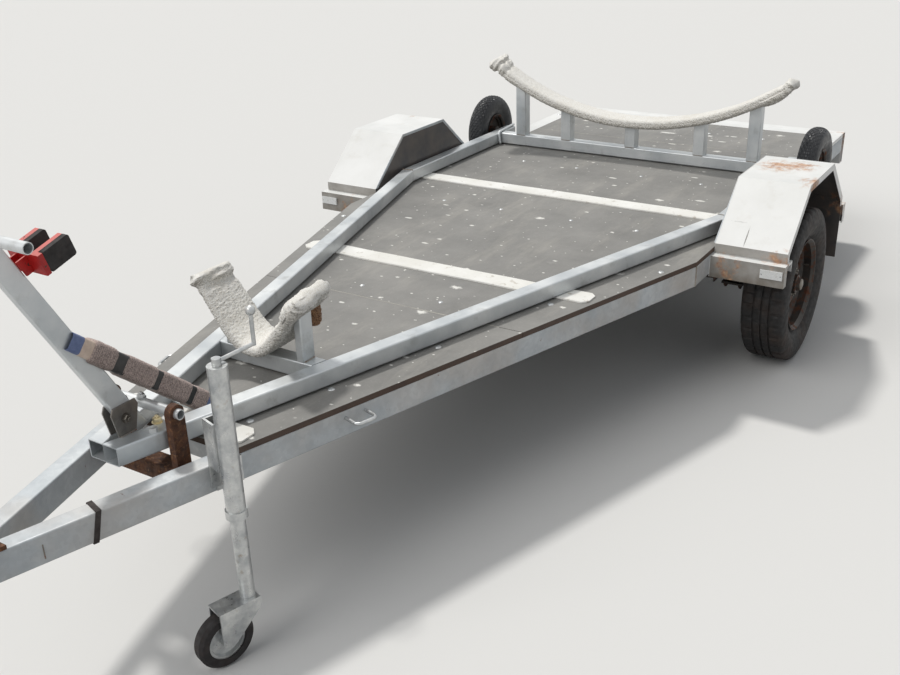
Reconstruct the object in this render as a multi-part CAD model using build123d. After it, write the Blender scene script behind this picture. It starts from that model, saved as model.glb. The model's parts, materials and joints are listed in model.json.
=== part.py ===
"""Road trailer with a plywood deck that carries a launching cradle for a small boat.

Millimetres. +Z is up, the coupling points to -Y, and the origin is on the ground under
the middle of the bounding box. The jockey wheel is swung down, as the trailer parks.
"""
from build123d import *
from math import asin, atan2, cos, degrees, radians, sin, sqrt, tan
import os

# Overall
LENGTH = 4700.0
REAR_Y = LENGTH / 2
DECK_Z = 530.0
PLY = 17.0
GAP = 0.3  # left between pieces that are welded or bolted face to face

# Trailer frame: rectangular tube, straight at the back and tapering to the drawbar
RAIL_W = 50.0
RAIL_H = 75.0
RAIL_T = 3.0
RAIL_TOP = DECK_Z - PLY
HALF_WIDTH = 741.0
BEND_Y = 268.0
TAPER = 16.8  # degrees from the centre line
ARM_END_Y = -2090.0
DECK_FRONT_Y = -1460.0
EDGING_Y = 1470.0  # behind this the deck lies between painted edge bars
EDGING_W = 75.0
SEAMS_Y = (-530.0, 1765.0)
SEAM = 2.0
MEMBERS_Y = (-1400.0, -530.0, 60.0, 480.0, 1166.0, 1425.0, 1765.0)
CLAMP_Y = -1530.0  # low member in front of the deck, with the cradle's clamp on it
REAR_BEAM_H = 150.0
LAMP = (150.0, 60.0, 22.0)  # width, height and depth of a rear lamp
LAMP_X = 640.0
LAMP_Z = 440.0
LOOP_Y = -1118.0
LOOP_DROP = 22.0

# Road wheels, axle and springs
AXLE_Y = 823.0
WHEEL_R = 295.0
TYRE_W = 165.0
TRACK_X = 905.0
RIM_R = 165.0
AXLE_BAR = 45.0
SPINDLE_R = 16.0
RUNNING = 0.05  # radial clearance of a hub on its axle
LEAF_W = 45.0
LEAF_T = 7.0
LEAVES = 4
SPRING_HALF = 330.0
SPRING_RISE = 60.0
SPRING_R = (SPRING_HALF ** 2 + SPRING_RISE ** 2) / (2 * SPRING_RISE)
SPRING_X = HALF_WIDTH - RAIL_W / 2
SPRING_Z = WHEEL_R + AXLE_BAR / 2 + GAP  # underside of the pack, on the axle

# Mudguards
GUARD_IN = 743.0
GUARD_OUT = 1000.0
GUARD_HALF = 380.0
GUARD_FLAT_HALF = 163.0
GUARD_TOP = 732.0
GUARD_EDGE = 544.0
GUARD_LIP = 510.0
GUARD_FLAP = 290.0  # foot of the sheet that hangs behind the wheel
GUARD_RIM = 26.0
STEP_OUT = 1006.0
SHEET = 2.5

# Launching cradle that stands on the deck
CRADLE_Z = 536.0  # underside of its tubes, on the straps
BOX = 50.0
BOX_T = 3.0
CRADLE_HALF = 731.0
CRADLE_NOSE = (49.5, -1663.0)
CRADLE_BEND_Y = 632.0
CRADLE_CROSS_Y = 1425.0
CRADLE_TAIL_Y = 1555.0
TUBE_MID = CRADLE_Z + BOX / 2
TUBE_TOP = CRADLE_Z + BOX
POST = 50.0
POST_T = 2.5
BUNK_POSTS_X = (-565.0, -325.0, 0.0, 325.0, 565.0)
BUNK_TOP_Z = 720.0  # top of the carpet at its lowest point
BUNK_R = 1200.0
BUNK_HALF = 690.0
BUNK_W = 110.0
BUNK_MID_Z = BUNK_TOP_Z + BUNK_R
BOARD_T = 24.0
CARPET_T = 9.0
VEE_Y = -1071.0
VEE_X = -16.0  # the board sits a little to one side of its posts
VEE_W = 143.0
VEE_POST = (25.0, 50.0)
VEE_POST_X = 127.5
VEE_BOARD_T = 14.0
FOOT_Y = -1340.0  # flat bar under the strut's foot
FOOT_T = 6.0
CRADLE_WHEEL_R = 172.0
CRADLE_TYRE_W = 85.0
CRADLE_RIM_R = 76.0
CRADLE_WHEEL_X = 800.0
CRADLE_WHEEL_Y = 1515.0
STUB_R = 10.0

# Bow post, its strut and the snubber
MAST_LEAN = 27.8
MAST_W = 25.0
MAST_D = 50.0
MAST_FOOT_Y = -1561.0  # centre of its foot, at the top of the tubes
MAST_TOP_Z = 1143.0
HANDLE_R = 12.5
HANDLE_HALF = 156.0
STRUT = 40.0
STRUT_TOP = (-1678.0, 846.0)  # y and z of the strut's centre line at the post
STRUT_LOW = (-1330.0, 540.0)
STRUT_WRAP = 7.5
SNUB_AT = (-1751.0, 1075.0)  # y and z where the pads meet the plate
SNUB_LEAN = 17.0
SNUB_LONG = 72.0
SNUB_TALL = 50.0

# Jockey wheel, swung down; its local y runs rearward along the arm
JOCKEY_PIVOT = (-1484.0, 487.0)
JOCKEY_X = 70.0
JOCKEY_Y = -26.0
JOCKEY_UP = 310.0
JOCKEY_DOWN = 90.0
JOCKEY_R = 24.0
LEG_R = 19.0
JOCKEY_WHEEL_R = 76.0
JOCKEY_WHEEL_W = 38.0
TRAIL = 78.0
CHANNEL = (38.0, 164.0)  # low and high end of the bracket's channel, from the pivot

SLOPE = tan(radians(TAPER))
CRADLE_SLOPE = (CRADLE_HALF - CRADLE_NOSE[0]) / (CRADLE_BEND_Y - CRADLE_NOSE[1])
CRADLE_TAPER = degrees(atan2(CRADLE_SLOPE, 1))


def save(name, *solids):
    shape = solids[0] if len(solids) == 1 else Compound(children=list(solids))
    export_step(shape, f"parts/{name}.step")


def both_sides(solid):
    return solid, mirror(solid, about=Plane.YZ)


def save_pair(name, solid):
    save(f"{name}_right", solid)
    save(f"{name}_left", mirror(solid, about=Plane.YZ))


def joined(pieces):
    whole = pieces[0]
    for piece in pieces[1:]:
        whole += piece
    return whole


def polygon(points):
    return make_face(Polyline(*points, close=True))


def block(x, y, z):
    """Box given by its low and high limits along each axis."""
    size = [high - low for low, high in (x, y, z)]
    return Pos(*[(low + high) / 2 for low, high in (x, y, z)]) * Box(*size)


def box_tube(start, end, width, height, wall, up=(0, 0, 1)):
    """Rectangular tube from start to end, its height along up."""
    run = Vector(*end) - Vector(*start)
    across = run.cross(Vector(*up)).normalized()
    plane = Plane(origin=start, x_dir=across, z_dir=run.normalized())
    ring = RectangleRounded(width, height, 1.6 * wall)
    ring -= RectangleRounded(width - 2 * wall, height - 2 * wall, 0.6 * wall)
    return extrude(plane * ring, run.length)


def round_bar(start, end, radius, bore=0):
    run = Vector(*end) - Vector(*start)
    plane = Plane(origin=start, z_dir=run.normalized())
    ring = Circle(radius) - Circle(bore) if bore else Circle(radius)
    return extrude(plane * ring, run.length)


def keep(solid, point, normal):
    """The part of the solid on the side that the normal points to."""
    return split(solid, bisect_by=Plane(origin=point, z_dir=normal), keep=Keep.TOP)


def arc_face(outer, inner, half):
    """Face between two arcs about the origin, hollow side up, to the same angle on each side."""
    low = CenterArc((0, 0), outer, 270 - half, 2 * half)
    high = CenterArc((0, 0), inner, 270 - half, 2 * half)
    return make_face([low, high, Line(low @ 0, high @ 0), Line(low @ 1, high @ 1)])


def edge_x(y):
    """Outer face of the trailer's frame."""
    return HALF_WIDTH - max(0, BEND_Y - y) * SLOPE


def inner_x(y):
    return edge_x(y) - RAIL_W / cos(radians(TAPER))


def cradle_inner_x(y):
    outer = CRADLE_HALF - max(0, CRADLE_BEND_Y - y) * CRADLE_SLOPE
    return outer - BOX / cos(radians(CRADLE_TAPER))


def within(solid, face, y, lean):
    """What lies between two faces that close in forward, one each side of the centre line."""
    a = radians(lean)
    for side in (1, -1):
        solid = keep(solid, (side * face, y, 0), (-side * cos(a), sin(a), 0))
    return solid


def tapered_tube(corner, lean, size, wall, z):
    """Tube that runs forward and inward from its outer rear corner, long at both ends."""
    width, height = size
    along = Vector(sin(radians(lean)), cos(radians(lean)), 0)
    middle = Vector(*corner, z) + Vector(-along.Y, along.X, 0) * (width / 2)
    start = middle - along * 2700
    end = middle + along * width
    return box_tube(tuple(start), tuple(end), width, height, wall)


def mitred_arm(corner, lean, size, wall, z, nose_y):
    """Tapered tube, mitred at the bend and cut off square at the nose and the centre line."""
    half = radians(lean / 2)
    arm = tapered_tube(corner, lean, size, wall, z)
    arm = keep(arm, (*corner, z), (-sin(half), -cos(half), 0))
    arm = keep(arm, (0, nose_y, z), (0, 1, 0))
    return keep(arm, (GAP, 0, z), (1, 0, 0))


def mitred_side(corner, lean, size, wall, z, tail_y):
    """Straight tube from the mitre to the tail."""
    x, y = corner
    half = radians(lean / 2)
    middle = x - size[0] / 2
    side = box_tube((middle, y - size[0], z), (middle, tail_y, z), *size, wall)
    return keep(side, (x, y + GAP, z), (sin(half), cos(half), 0))


def frame_rails():
    z = RAIL_TOP - RAIL_H / 2
    place = ((HALF_WIDTH, BEND_Y), TAPER, (RAIL_W, RAIL_H), RAIL_T, z)
    save_pair("drawbar", mitred_arm(*place, ARM_END_Y))
    save("side_rails", *both_sides(mitred_side(*place, REAR_Y - RAIL_W - GAP)))


def cross_member(y, z_top, height):
    """Tube between the rails, its ends cut to their faces."""
    tapered = y < BEND_Y
    face = inner_x(y) if tapered else HALF_WIDTH - RAIL_W
    z = z_top - height / 2
    bar = box_tube((-face - 30, y, z), (face + 30, y, z), RAIL_W, height, RAIL_T)
    return within(bar, face - GAP, y, TAPER if tapered else 0)


def frame_members():
    save("cross_members", *[cross_member(y, RAIL_TOP, RAIL_H) for y in MEMBERS_Y])
    save("clamp_member", cross_member(CLAMP_Y, RAIL_TOP - 25, 50))
    low = HALF_WIDTH - EDGING_W
    end = REAR_Y - RAIL_W - GAP
    bar = block((low, HALF_WIDTH), (EDGING_Y, end), (RAIL_TOP, DECK_Z))
    tail = block((GAP - low, low - GAP), (end - EDGING_W, end), (RAIL_TOP, DECK_Z))
    save("edge_bars", *both_sides(bar), tail)


def rear_beam():
    """Deep beam across the tail, with a lamp let into it at each side."""
    z = DECK_Z - REAR_BEAM_H / 2
    y = REAR_Y - RAIL_W / 2
    ends = ((-HALF_WIDTH, y, z), (HALF_WIDTH, y, z))
    beam = box_tube(*ends, RAIL_W, REAR_BEAM_H, RAIL_T)
    width, height, depth = LAMP
    lamps = []
    for side in (1, -1):
        face = Plane(origin=(side * LAMP_X, REAR_Y, LAMP_Z), x_dir=(1, 0, 0), z_dir=(0, -1, 0))
        lamps.append(extrude(face * RectangleRounded(width, height, 14), depth))
        beam -= extrude(face * RectangleRounded(width + 2 * GAP, height + 2 * GAP, 14 + GAP), 8)
    save("rear_beam", beam)
    save("tail_lamps", *lamps)


def deck_sheet(y_low, y_high):
    """Sheet that follows the frame's edge, and lies inside the edge bars behind the cradle."""
    inset = HALF_WIDTH - EDGING_W - GAP
    right = [(edge_x(y_low), y_low)]
    if y_low < BEND_Y < y_high:
        right.append((HALF_WIDTH, BEND_Y))
    if y_high > EDGING_Y:
        step = EDGING_Y - SEAM
        right += [(HALF_WIDTH, step), (inset, step), (inset, y_high)]
    else:
        right.append((edge_x(y_high), y_high))
    left = [(-x, y) for x, y in reversed(right)]
    return extrude(Pos(0, 0, RAIL_TOP) * polygon(right + left), PLY)


def deck():
    low, high = SEAMS_Y
    main = deck_sheet(low + SEAM / 2, high - SEAM / 2)
    front = deck_sheet(DECK_FRONT_Y, low - SEAM / 2)
    inset = HALF_WIDTH - EDGING_W - GAP
    tail = (high + SEAM / 2, REAR_Y - RAIL_W - EDGING_W - 2 * GAP)
    save("deck_sheets", front, main, block((-inset, inset), tail, (RAIL_TOP, DECK_Z)))
    # centre y, half length, clipped corner
    straps = ((-1405.0, 214.0, 18.0), (-208.0, 572.0, 18.0), (752.0, 700.0, 4.0))
    save("deck_straps", *[strap(*row) for row in straps])


def strap(y, half, clip):
    plate = block((-half, half), (y - 42, y + 42), (DECK_Z, CRADLE_Z))
    return chamfer(plate.edges().filter_by(Axis.Z), clip)


def tie_loop():
    """Bent rod whose two legs are welded to the arm's outer face."""
    reach, half, r = 52.0, 32.0, 5.0
    lean = radians(TAPER)
    origin = (edge_x(LOOP_Y) + GAP, LOOP_Y, RAIL_TOP - LOOP_DROP)
    place = Plane(origin=origin, x_dir=(cos(lean), -sin(lean), 0), z_dir=(0, 0, 1))
    path = FilletPolyline((0, -half), (reach, -half), (reach, half), (0, half), radius=14)
    return place * sweep(Plane(origin=(0, -half, 0), z_dir=(1, 0, 0)) * Circle(r), path=path)


def coupling():
    """Pressed coupling for a 50 mm ball on a plate that joins the two arms."""
    plate_z = RAIL_TOP + GAP
    outline = ((-30, -2110), (30, -2110), (62, -1985), (-62, -1985))
    save("coupling_plate", extrude(Pos(0, 0, plate_z) * polygon(outline), 10))
    base = plate_z + 10 + GAP
    ball_y, ball_z, ball_r = -2316.0, base + 22, 25.0
    # y, half width and height of the pressed body, from its foot to the socket
    rows = ((-1998.0, 34.0, 22.0), (-2130.0, 32.0, 34.0), (-2310.0, 29.0, 46.0))
    outer = loft([saddle(y, half, height, base, 0) for y, half, height in rows])
    inner = loft([saddle(y, half - 3, height - 3, base, -1) for y, half, height in rows])
    shell = ball_r + 9
    dome = Pos(0, ball_y, ball_z) * Sphere(shell)
    dome += Pos(0, ball_y, base + 11) * Cylinder(shell, 22)
    socket = Pos(0, ball_y, ball_z) * Sphere(ball_r + 0.5)
    socket += Pos(0, ball_y, base) * Cylinder(ball_r + 0.5, 44)
    save("coupling_head", keep(outer - inner + dome - socket, (0, 0, base), (0, 0, 1)))
    save("coupling_lever", coupling_lever(base))


def coupling_lever(base):
    # y, and height over the coupling's foot
    outline = (
        (-2262, 46), (-2216, 46), (-2150, 96), (-2040, 108),
        (-2040, 116), (-2156, 106), (-2236, 62), (-2262, 60),
    )
    face = Plane.YZ * polygon([(y, base + z) for y, z in outline])
    lever = extrude(face, 13, both=True)
    return fillet(lever.edges().filter_by(Axis.X), 3)


def saddle(y, half, height, base, low):
    """Section of the pressed coupling: straight sides and rounded upper corners."""
    plane = Plane(origin=(0, y, base), x_dir=(1, 0, 0), z_dir=(0, -1, 0))
    r = 12.0
    k = 0.293 * r
    return plane * make_face([
        Line((-half, low), (half, low)),
        Line((half, low), (half, height - r)),
        ThreePointArc((half, height - r), (half - k, height - k), (half - r, height)),
        Line((half - r, height), (r - half, height)),
        ThreePointArc((r - half, height), (k - half, height - k), (-half, height - r)),
        Line((-half, height - r), (-half, low)),
    ])


def guard_outline(inset):
    """Faceted outline of a mudguard, seen from the side, with its front and rear lips."""
    rise = (GUARD_TOP - GUARD_EDGE) / (GUARD_HALF - GUARD_FLAT_HALF)
    lean = sqrt(1 + rise * rise)
    foot = GUARD_HALF - inset
    edge = GUARD_EDGE - inset * (lean - rise)
    flat = GUARD_FLAT_HALF - inset * (lean - 1) / rise
    right = [(flat, GUARD_TOP - inset), (foot, edge), (foot, GUARD_LIP)]
    return polygon(right + [(-y, z) for y, z in reversed(right)])


def mudguards():
    """Folded shells, each with a rim along its outer edge and a flap behind the wheel."""
    side = Plane(origin=(0, AXLE_Y, 0), x_dir=(0, 1, 0), z_dir=(1, 0, 0))
    width = GUARD_OUT - GUARD_IN
    shell = Pos(GUARD_IN) * extrude(side * guard_outline(0), width)
    shell -= Pos(GUARD_IN + SHEET) * extrude(side * guard_outline(SHEET), width)
    rim = Pos(GUARD_OUT - SHEET) * extrude(side * guard_outline(0), SHEET)
    rim -= Pos(GUARD_OUT - SHEET - 1) * extrude(side * guard_outline(GUARD_RIM), SHEET + 2)
    end = AXLE_Y + GUARD_HALF
    shell += block((GUARD_IN, GUARD_OUT), (end - SHEET, end), (GUARD_FLAP, GUARD_LIP + 1))
    save_pair("mudguard", shell + keep(rim, (0, 0, GUARD_LIP + 0.01), (0, 0, 1)))
    brackets = [step_bracket(sign) for sign in (-1, 1)]
    save("guard_steps", *[half for bracket in brackets for half in both_sides(bracket)])
    face_y = AXLE_Y - GUARD_HALF - 40 - GAP
    save("reflectors", *both_sides(block((923, 1000), (face_y - 7, face_y), (462, 492))))


def step_bracket(sign):
    """Angle that carries the end of a mudguard: a ledge at the lip and walls below it."""
    x = (HALF_WIDTH + GAP, STEP_OUT)
    start = -45 if sign < 0 else GAP
    # reach from the guard's end, low and high, then z low and high
    rows = [(start, 40, 500, 509.7), (32, 40, 432, 500), (start, start + 5, 470, 500)]
    y = AXLE_Y + sign * GUARD_HALF
    walls = []
    for near, far, low, high in rows:
        walls.append(block(x, sorted((y + sign * near, y + sign * far)), (low, high)))
    cheek = sorted((y + sign * 10, y + sign * 40))
    walls.append(block((STEP_OUT - 3, STEP_OUT), cheek, (432, 500)))
    return joined(walls)


def axle():
    z = WHEEL_R
    half = AXLE_BAR / 2
    bar = block((-790, 790), (AXLE_Y - half, AXLE_Y + half), (z - half, z + half))
    reach = TRACK_X + 40
    bar += round_bar((-reach, AXLE_Y, z), (reach, AXLE_Y, z), SPINDLE_R)
    save("axle_beam", bar)
    save("leaf_springs", *both_sides(spring_pack()))
    pieces = (front_hanger(), rear_slipper(), axle_clamp())
    save("spring_hangers", *[half for piece in pieces for half in both_sides(piece)])


def spring_pack():
    """Leaves bent to one centre, each longer than the one below, and the eye of the top leaf."""
    origin = (SPRING_X - LEAF_W / 2, AXLE_Y, SPRING_Z + SPRING_R)
    plane = Plane(origin=origin, x_dir=(0, 1, 0), z_dir=(1, 0, 0))
    leaves = []
    for number in range(LEAVES):
        outer = SPRING_R - number * LEAF_T
        reach = SPRING_HALF * (0.45 + 0.55 * number / (LEAVES - 1))
        face = arc_face(outer, outer - LEAF_T, degrees(asin(reach / outer)))
        leaves.append(extrude(plane * face, LEAF_W))
    return joined(leaves) + across_spring(15, LEAF_W / 2) - across_spring(8.2, LEAF_W)


def spring_eye():
    """y and z of the eye at the front end of the top leaf."""
    outer = SPRING_R - (LEAVES - 1) * LEAF_T
    drop = outer * cos(asin(SPRING_HALF / outer))
    return AXLE_Y - SPRING_HALF - 6, SPRING_Z + SPRING_R - drop + 10


def across_spring(radius, half):
    y, z = spring_eye()
    return round_bar((SPRING_X - half, y, z), (SPRING_X + half, y, z), radius)


def saddle_plate(y_low, y_high, z_low):
    """Channel under the rail, open downward, just wider than the spring."""
    top = RAIL_TOP - RAIL_H - GAP
    half = LEAF_W / 2 + 1
    outer = block((SPRING_X - half - 5, SPRING_X + half + 5), (y_low, y_high), (z_low, top))
    hollow = block((SPRING_X - half, SPRING_X + half), (y_low - 9, y_high + 9), (z_low - 9, top - 6))
    return outer - hollow


def front_hanger():
    y, z = spring_eye()
    return saddle_plate(y - 24, y + 24, z - 20) + across_spring(8, LEAF_W / 2 + 13)


def rear_slipper():
    """Channel in which the spring's rear end slides, with the pin that keeps it in."""
    y = AXLE_Y + SPRING_HALF
    top = RAIL_TOP - RAIL_H - GAP
    half = LEAF_W / 2 + 13
    pin = round_bar((SPRING_X - half, y + 12, top - 50), (SPRING_X + half, y + 12, top - 50), 6)
    return saddle_plate(y - 55, y + 35, top - 62) + pin


def axle_clamp():
    """Plate under the axle with two U-bolts over the spring."""
    z = WHEEL_R - AXLE_BAR / 2 - GAP
    plate = block((SPRING_X - 42, SPRING_X + 42), (AXLE_Y - 48, AXLE_Y + 48), (z - 8, z))
    return joined([plate, u_bolt(AXLE_Y - 32, z - 24), u_bolt(AXLE_Y + 32, z - 24)])


def u_bolt(y, low):
    top = SPRING_Z + LEAVES * LEAF_T + 8
    half = LEAF_W / 2 + 6.5
    path = FilletPolyline((-half, low), (-half, top), (half, top), (half, low), radius=10)
    plane = Plane(origin=(SPRING_X, y, 0), x_dir=(1, 0, 0), z_dir=(0, -1, 0))
    rod = Plane(origin=(-half, low, 0), z_dir=(0, 1, 0)) * Circle(5)
    return sweep(plane * rod, path=plane * path)


def wheel_plane(x, y, z):
    """Plane whose own x is the radius and whose own y runs outward along the axle."""
    return Plane(origin=(x, y, z), x_dir=(0, 0, 1), z_dir=(0, 1, 0))


def turned(place, face):
    return revolve(place * face, Axis(place.origin, place.y_dir), 360)


def tyre_face(radius, rim_r, width):
    """Section of a tyre: round shoulders, bulged sides and an upright bead at each flange."""
    half = width / 2
    tread = half * 0.72
    bead = half * 0.7
    bead_r = rim_r + width * 0.1
    shoulder_r = radius - width * 0.1
    round_r = radius - width * 0.035
    edges = [Line((radius, -tread), (radius, tread)), Line((rim_r, bead), (rim_r, -bead))]
    for side in (1, -1):
        shoulder = (shoulder_r, side * half * 0.95)
        foot = (bead_r, side * bead)
        edges.append(ThreePointArc((radius, side * tread), (round_r, side * half * 0.88), shoulder))
        edges.append(ThreePointArc(shoulder, ((bead_r + shoulder_r) / 2, side * half), foot))
        edges.append(Line(foot, (rim_r, side * bead)))
    return make_face(edges)


def road_rim(place):
    """Steel wheel with its hub in one turned section: cap, hub, dished disc, well and flanges."""
    bead = TYRE_W / 2 * 0.7
    seat = RIM_R - 20
    # radius and distance along the axle, outward
    cap = [(0, 62), (22, 62), (26, 50), (36, 48), (36, 22)]
    disc = [(62, 22), (88, 26), (125, 8), (seat, 2)]
    barrel = [(seat, 12), (seat + 16, 26), (seat + 16, bead - 3), (seat + 28, bead + 10)]
    barrel += [(seat + 31, bead + 10), (seat + 20, bead + 1), (seat + 20, 24), (seat + 4, 14)]
    inward = [(r, -x - 8 if abs(x) < 30 else -x) for r, x in reversed(barrel)]
    back = [(seat, -2), (125, 4), (88, 22), (62, 18), (62, 6), (40, 2), (36, -62), (24, -62)]
    bore = SPINDLE_R + RUNNING
    hub = [(24, -70), (bore, -70), (bore, 44), (0, 44)]
    return turned(place, polygon(cap + disc + barrel + inward + back + hub))


def road_wheel():
    place = wheel_plane(TRACK_X, AXLE_Y, WHEEL_R)
    save_pair("road_tyre", turned(place, tyre_face(WHEEL_R, RIM_R + GAP, TYRE_W)))
    save_pair("road_rim", road_rim(place) - joined(vent_holes()))


def vent_holes():
    """Ten round windows in the wheel's disc."""
    holes = []
    for number in range(10):
        angle = radians(36 * number)
        y, z = AXLE_Y + 107 * sin(angle), WHEEL_R + 107 * cos(angle)
        holes.append(round_bar((TRACK_X - 10, y, z), (TRACK_X + 50, y, z), 13))
    return holes


def cradle_wheel():
    place = wheel_plane(CRADLE_WHEEL_X, CRADLE_WHEEL_Y, TUBE_MID)
    r = CRADLE_RIM_R
    bead = CRADLE_TYRE_W / 2 * 0.7
    barrel = [(r - 9, 12), (r - 3, 18), (r - 3, bead - 2), (r + 5, bead + 5)]
    barrel += [(r + 8, bead + 5), (r, bead + 0.5), (r, 16), (r - 6, 10)]
    inward = [(radius, -x) for radius, x in reversed(barrel)]
    bore = STUB_R + RUNNING
    hub = [(r - 9, -2), (46, 6), (24, 6), (24, -38), (bore, -38)]
    hub += [(bore, 34), (24, 34), (24, 10), (46, 10), (r - 9, 2)]
    save_pair("cradle_tyre", turned(place, tyre_face(CRADLE_WHEEL_R, r + GAP, CRADLE_TYRE_W)))
    save_pair("cradle_rim", turned(place, polygon(barrel + inward + hub)))


def cradle_frame():
    place = ((CRADLE_HALF, CRADLE_BEND_Y), CRADLE_TAPER, (BOX, BOX), BOX_T, TUBE_MID)
    save_pair("cradle_arm", mitred_arm(*place, CRADLE_NOSE[1]))
    save("cradle_sides", *both_sides(mitred_side(*place, CRADLE_TAIL_Y)))
    save("cradle_axles", *both_sides(stub_axle()))
    inner = CRADLE_HALF - BOX - GAP
    ends = ((-inner, CRADLE_CROSS_Y, TUBE_MID), (inner, CRADLE_CROSS_Y, TUBE_MID))
    vee = box_tube((-300, VEE_Y, TUBE_MID), (300, VEE_Y, TUBE_MID), BOX, BOX, BOX_T)
    foot = block((-300, 300), (FOOT_Y - 30, FOOT_Y + 30), (CRADLE_Z, CRADLE_Z + FOOT_T))
    front = [
        within(bar, cradle_inner_x(y) - GAP, y, CRADLE_TAPER)
        for bar, y in ((vee, VEE_Y), (foot, FOOT_Y))
    ]
    save("cradle_cross_tubes", box_tube(*ends, BOX, BOX, BOX_T), *front)


def stub_axle():
    """Flanged stub on the side tube, with the washer that keeps the wheel on."""
    y, z = CRADLE_WHEEL_Y, TUBE_MID
    # start and end along x, radius
    rows = ((CRADLE_HALF + GAP, 737, 22), (736, 846, STUB_R), (836, 842, 16))
    return joined([round_bar((a, y, z), (b, y, z), r) for a, b, r in rows])


def bunk_band(outer, inner, width):
    """Band bent to an arc across the cradle, from its underside radius to its top radius."""
    origin = (0, CRADLE_CROSS_Y + width / 2, BUNK_MID_Z)
    plane = Plane(origin=origin, x_dir=(1, 0, 0), z_dir=(0, -1, 0))
    return extrude(plane * arc_face(outer, inner, degrees(asin(BUNK_HALF / BUNK_R))), width)


def bunk():
    """Bent board in a sleeve of carpet, on a row of posts."""
    y = CRADLE_CROSS_Y
    top = BUNK_R + CARPET_T
    under = top + BOARD_T
    width = BUNK_W - 2 * CARPET_T
    low = under + CARPET_T
    above = round_bar((0, y - 200, BUNK_MID_Z), (0, y + 200, BUNK_MID_Z), low + GAP)
    posts = []
    for x in BUNK_POSTS_X:
        rise = BUNK_MID_Z - sqrt(low ** 2 - (abs(x) + POST / 2) ** 2)
        ends = ((x, y, TUBE_TOP + GAP), (x, y, rise + 40))
        posts.append(box_tube(*ends, POST, POST, POST_T, (0, 1, 0)) - above)
    save("bunk_posts", *posts)
    save("bunk_board", bunk_band(under, top, width))
    hollow = bunk_band(under + GAP, top - GAP, width + 2 * GAP)
    save("bunk_carpet", bunk_band(low, BUNK_R, BUNK_W) - hollow)


def bow_support():
    """Board bent to a vee in a sleeve of carpet, and the two posts that carry it."""
    z = TUBE_TOP + GAP + VEE_BOARD_T / 2 + CARPET_T
    # x, and height over the vee's low point
    right = [(30, 0), (76, 38), (184, 186)]
    left = [(-x, v) for x, v in reversed(right)]
    line = FilletPolyline(*left, *right, radius=24)
    # width along the trailer, and thickness
    rows = (
        (VEE_W - 2 * CARPET_T, VEE_BOARD_T),
        (VEE_W - 2 * CARPET_T + 2 * GAP, VEE_BOARD_T + 2 * GAP),
        (VEE_W, VEE_BOARD_T + 2 * CARPET_T),
    )
    bands = []
    for width, thick in rows:
        origin = (VEE_X, VEE_Y + width / 2, z)
        plane = Plane(origin=origin, x_dir=(1, 0, 0), z_dir=(0, -1, 0))
        bands.append(extrude(plane * trace(line, thick), width))
    board, hollow, wrap = bands
    save("bow_board", board)
    save("bow_carpet", wrap - hollow)
    posts = []
    for x in (-VEE_POST_X, VEE_POST_X):
        ends = ((x, VEE_Y, TUBE_TOP + GAP), (x, VEE_Y, z + 180))
        post = box_tube(*ends, *VEE_POST, POST_T, (0, 1, 0)) - wrap
        posts.append(post.solids().sort_by(Axis.Z)[0])
    save("bow_posts", *posts)


def up_and_back(lean):
    """Unit vectors along something that leans forward and square to it, rearward."""
    a = radians(lean)
    return Vector(0, -sin(a), cos(a)), Vector(0, cos(a), sin(a))


def mast():
    up, back = up_and_back(MAST_LEAN)
    foot = Vector(0, MAST_FOOT_Y, TUBE_TOP)
    end = foot + up * ((MAST_TOP_Z - TUBE_TOP) / up.Z + 40)
    post = box_tube(tuple(foot - up * 60), tuple(end), MAST_W, MAST_D, POST_T, tuple(back))
    post = keep(post, (0, 0, TUBE_TOP + GAP), (0, 0, 1))
    save("bow_post", keep(post, (0, 0, MAST_TOP_Z), (0, 0, -1)))
    y = MAST_FOOT_Y - (MAST_TOP_Z - TUBE_TOP) * tan(radians(MAST_LEAN))
    z = MAST_TOP_Z + GAP + HANDLE_R
    save("bow_handle", round_bar((-HANDLE_HALF, y, z), (HANDLE_HALF, y, z), HANDLE_R, HANDLE_R - 2))
    # y, and height over the tubes, of the plates that hold the post's foot
    outline = ((-1624, 0), (-1572, 0), (-1556, 62), (-1562, 78), (-1630, 78), (-1637, 62))
    face = Plane.YZ * polygon([(y, TUBE_TOP + GAP + rise) for y, rise in outline])
    save("bow_gussets", *both_sides(Pos(MAST_W / 2 + GAP) * extrude(face, 4)))


def behind_post(solid, gap):
    """What lies behind the bow post's rear face."""
    up, back = up_and_back(MAST_LEAN)
    point = Vector(0, MAST_FOOT_Y, TUBE_TOP) + back * (MAST_D / 2 + gap)
    return keep(solid, tuple(point), tuple(back))


def strut():
    """Square strut from the post down to the flat bar, in a sleeve of carpet."""
    top = Vector(0, *STRUT_TOP)
    low = Vector(0, *STRUT_LOW)
    run = (low - top).normalized()
    normal = (0, -run.Z, run.Y)
    wide = STRUT + 2 * STRUT_WRAP
    bar = box_tube(tuple(top - run * 40), tuple(low + run * 40), STRUT, STRUT, POST_T, normal)
    ends = (tuple(top + run * 24), tuple(low + run * 60))
    wrap = box_tube(*ends, wide, wide, STRUT_WRAP - GAP, normal)
    foot = (0, 0, CRADLE_Z + FOOT_T + GAP)
    save("strut", keep(behind_post(bar, GAP), foot, (0, 0, 1)))
    save("strut_carpet", keep(behind_post(wrap, 2 * GAP), foot, (0, 0, 1)))


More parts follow.
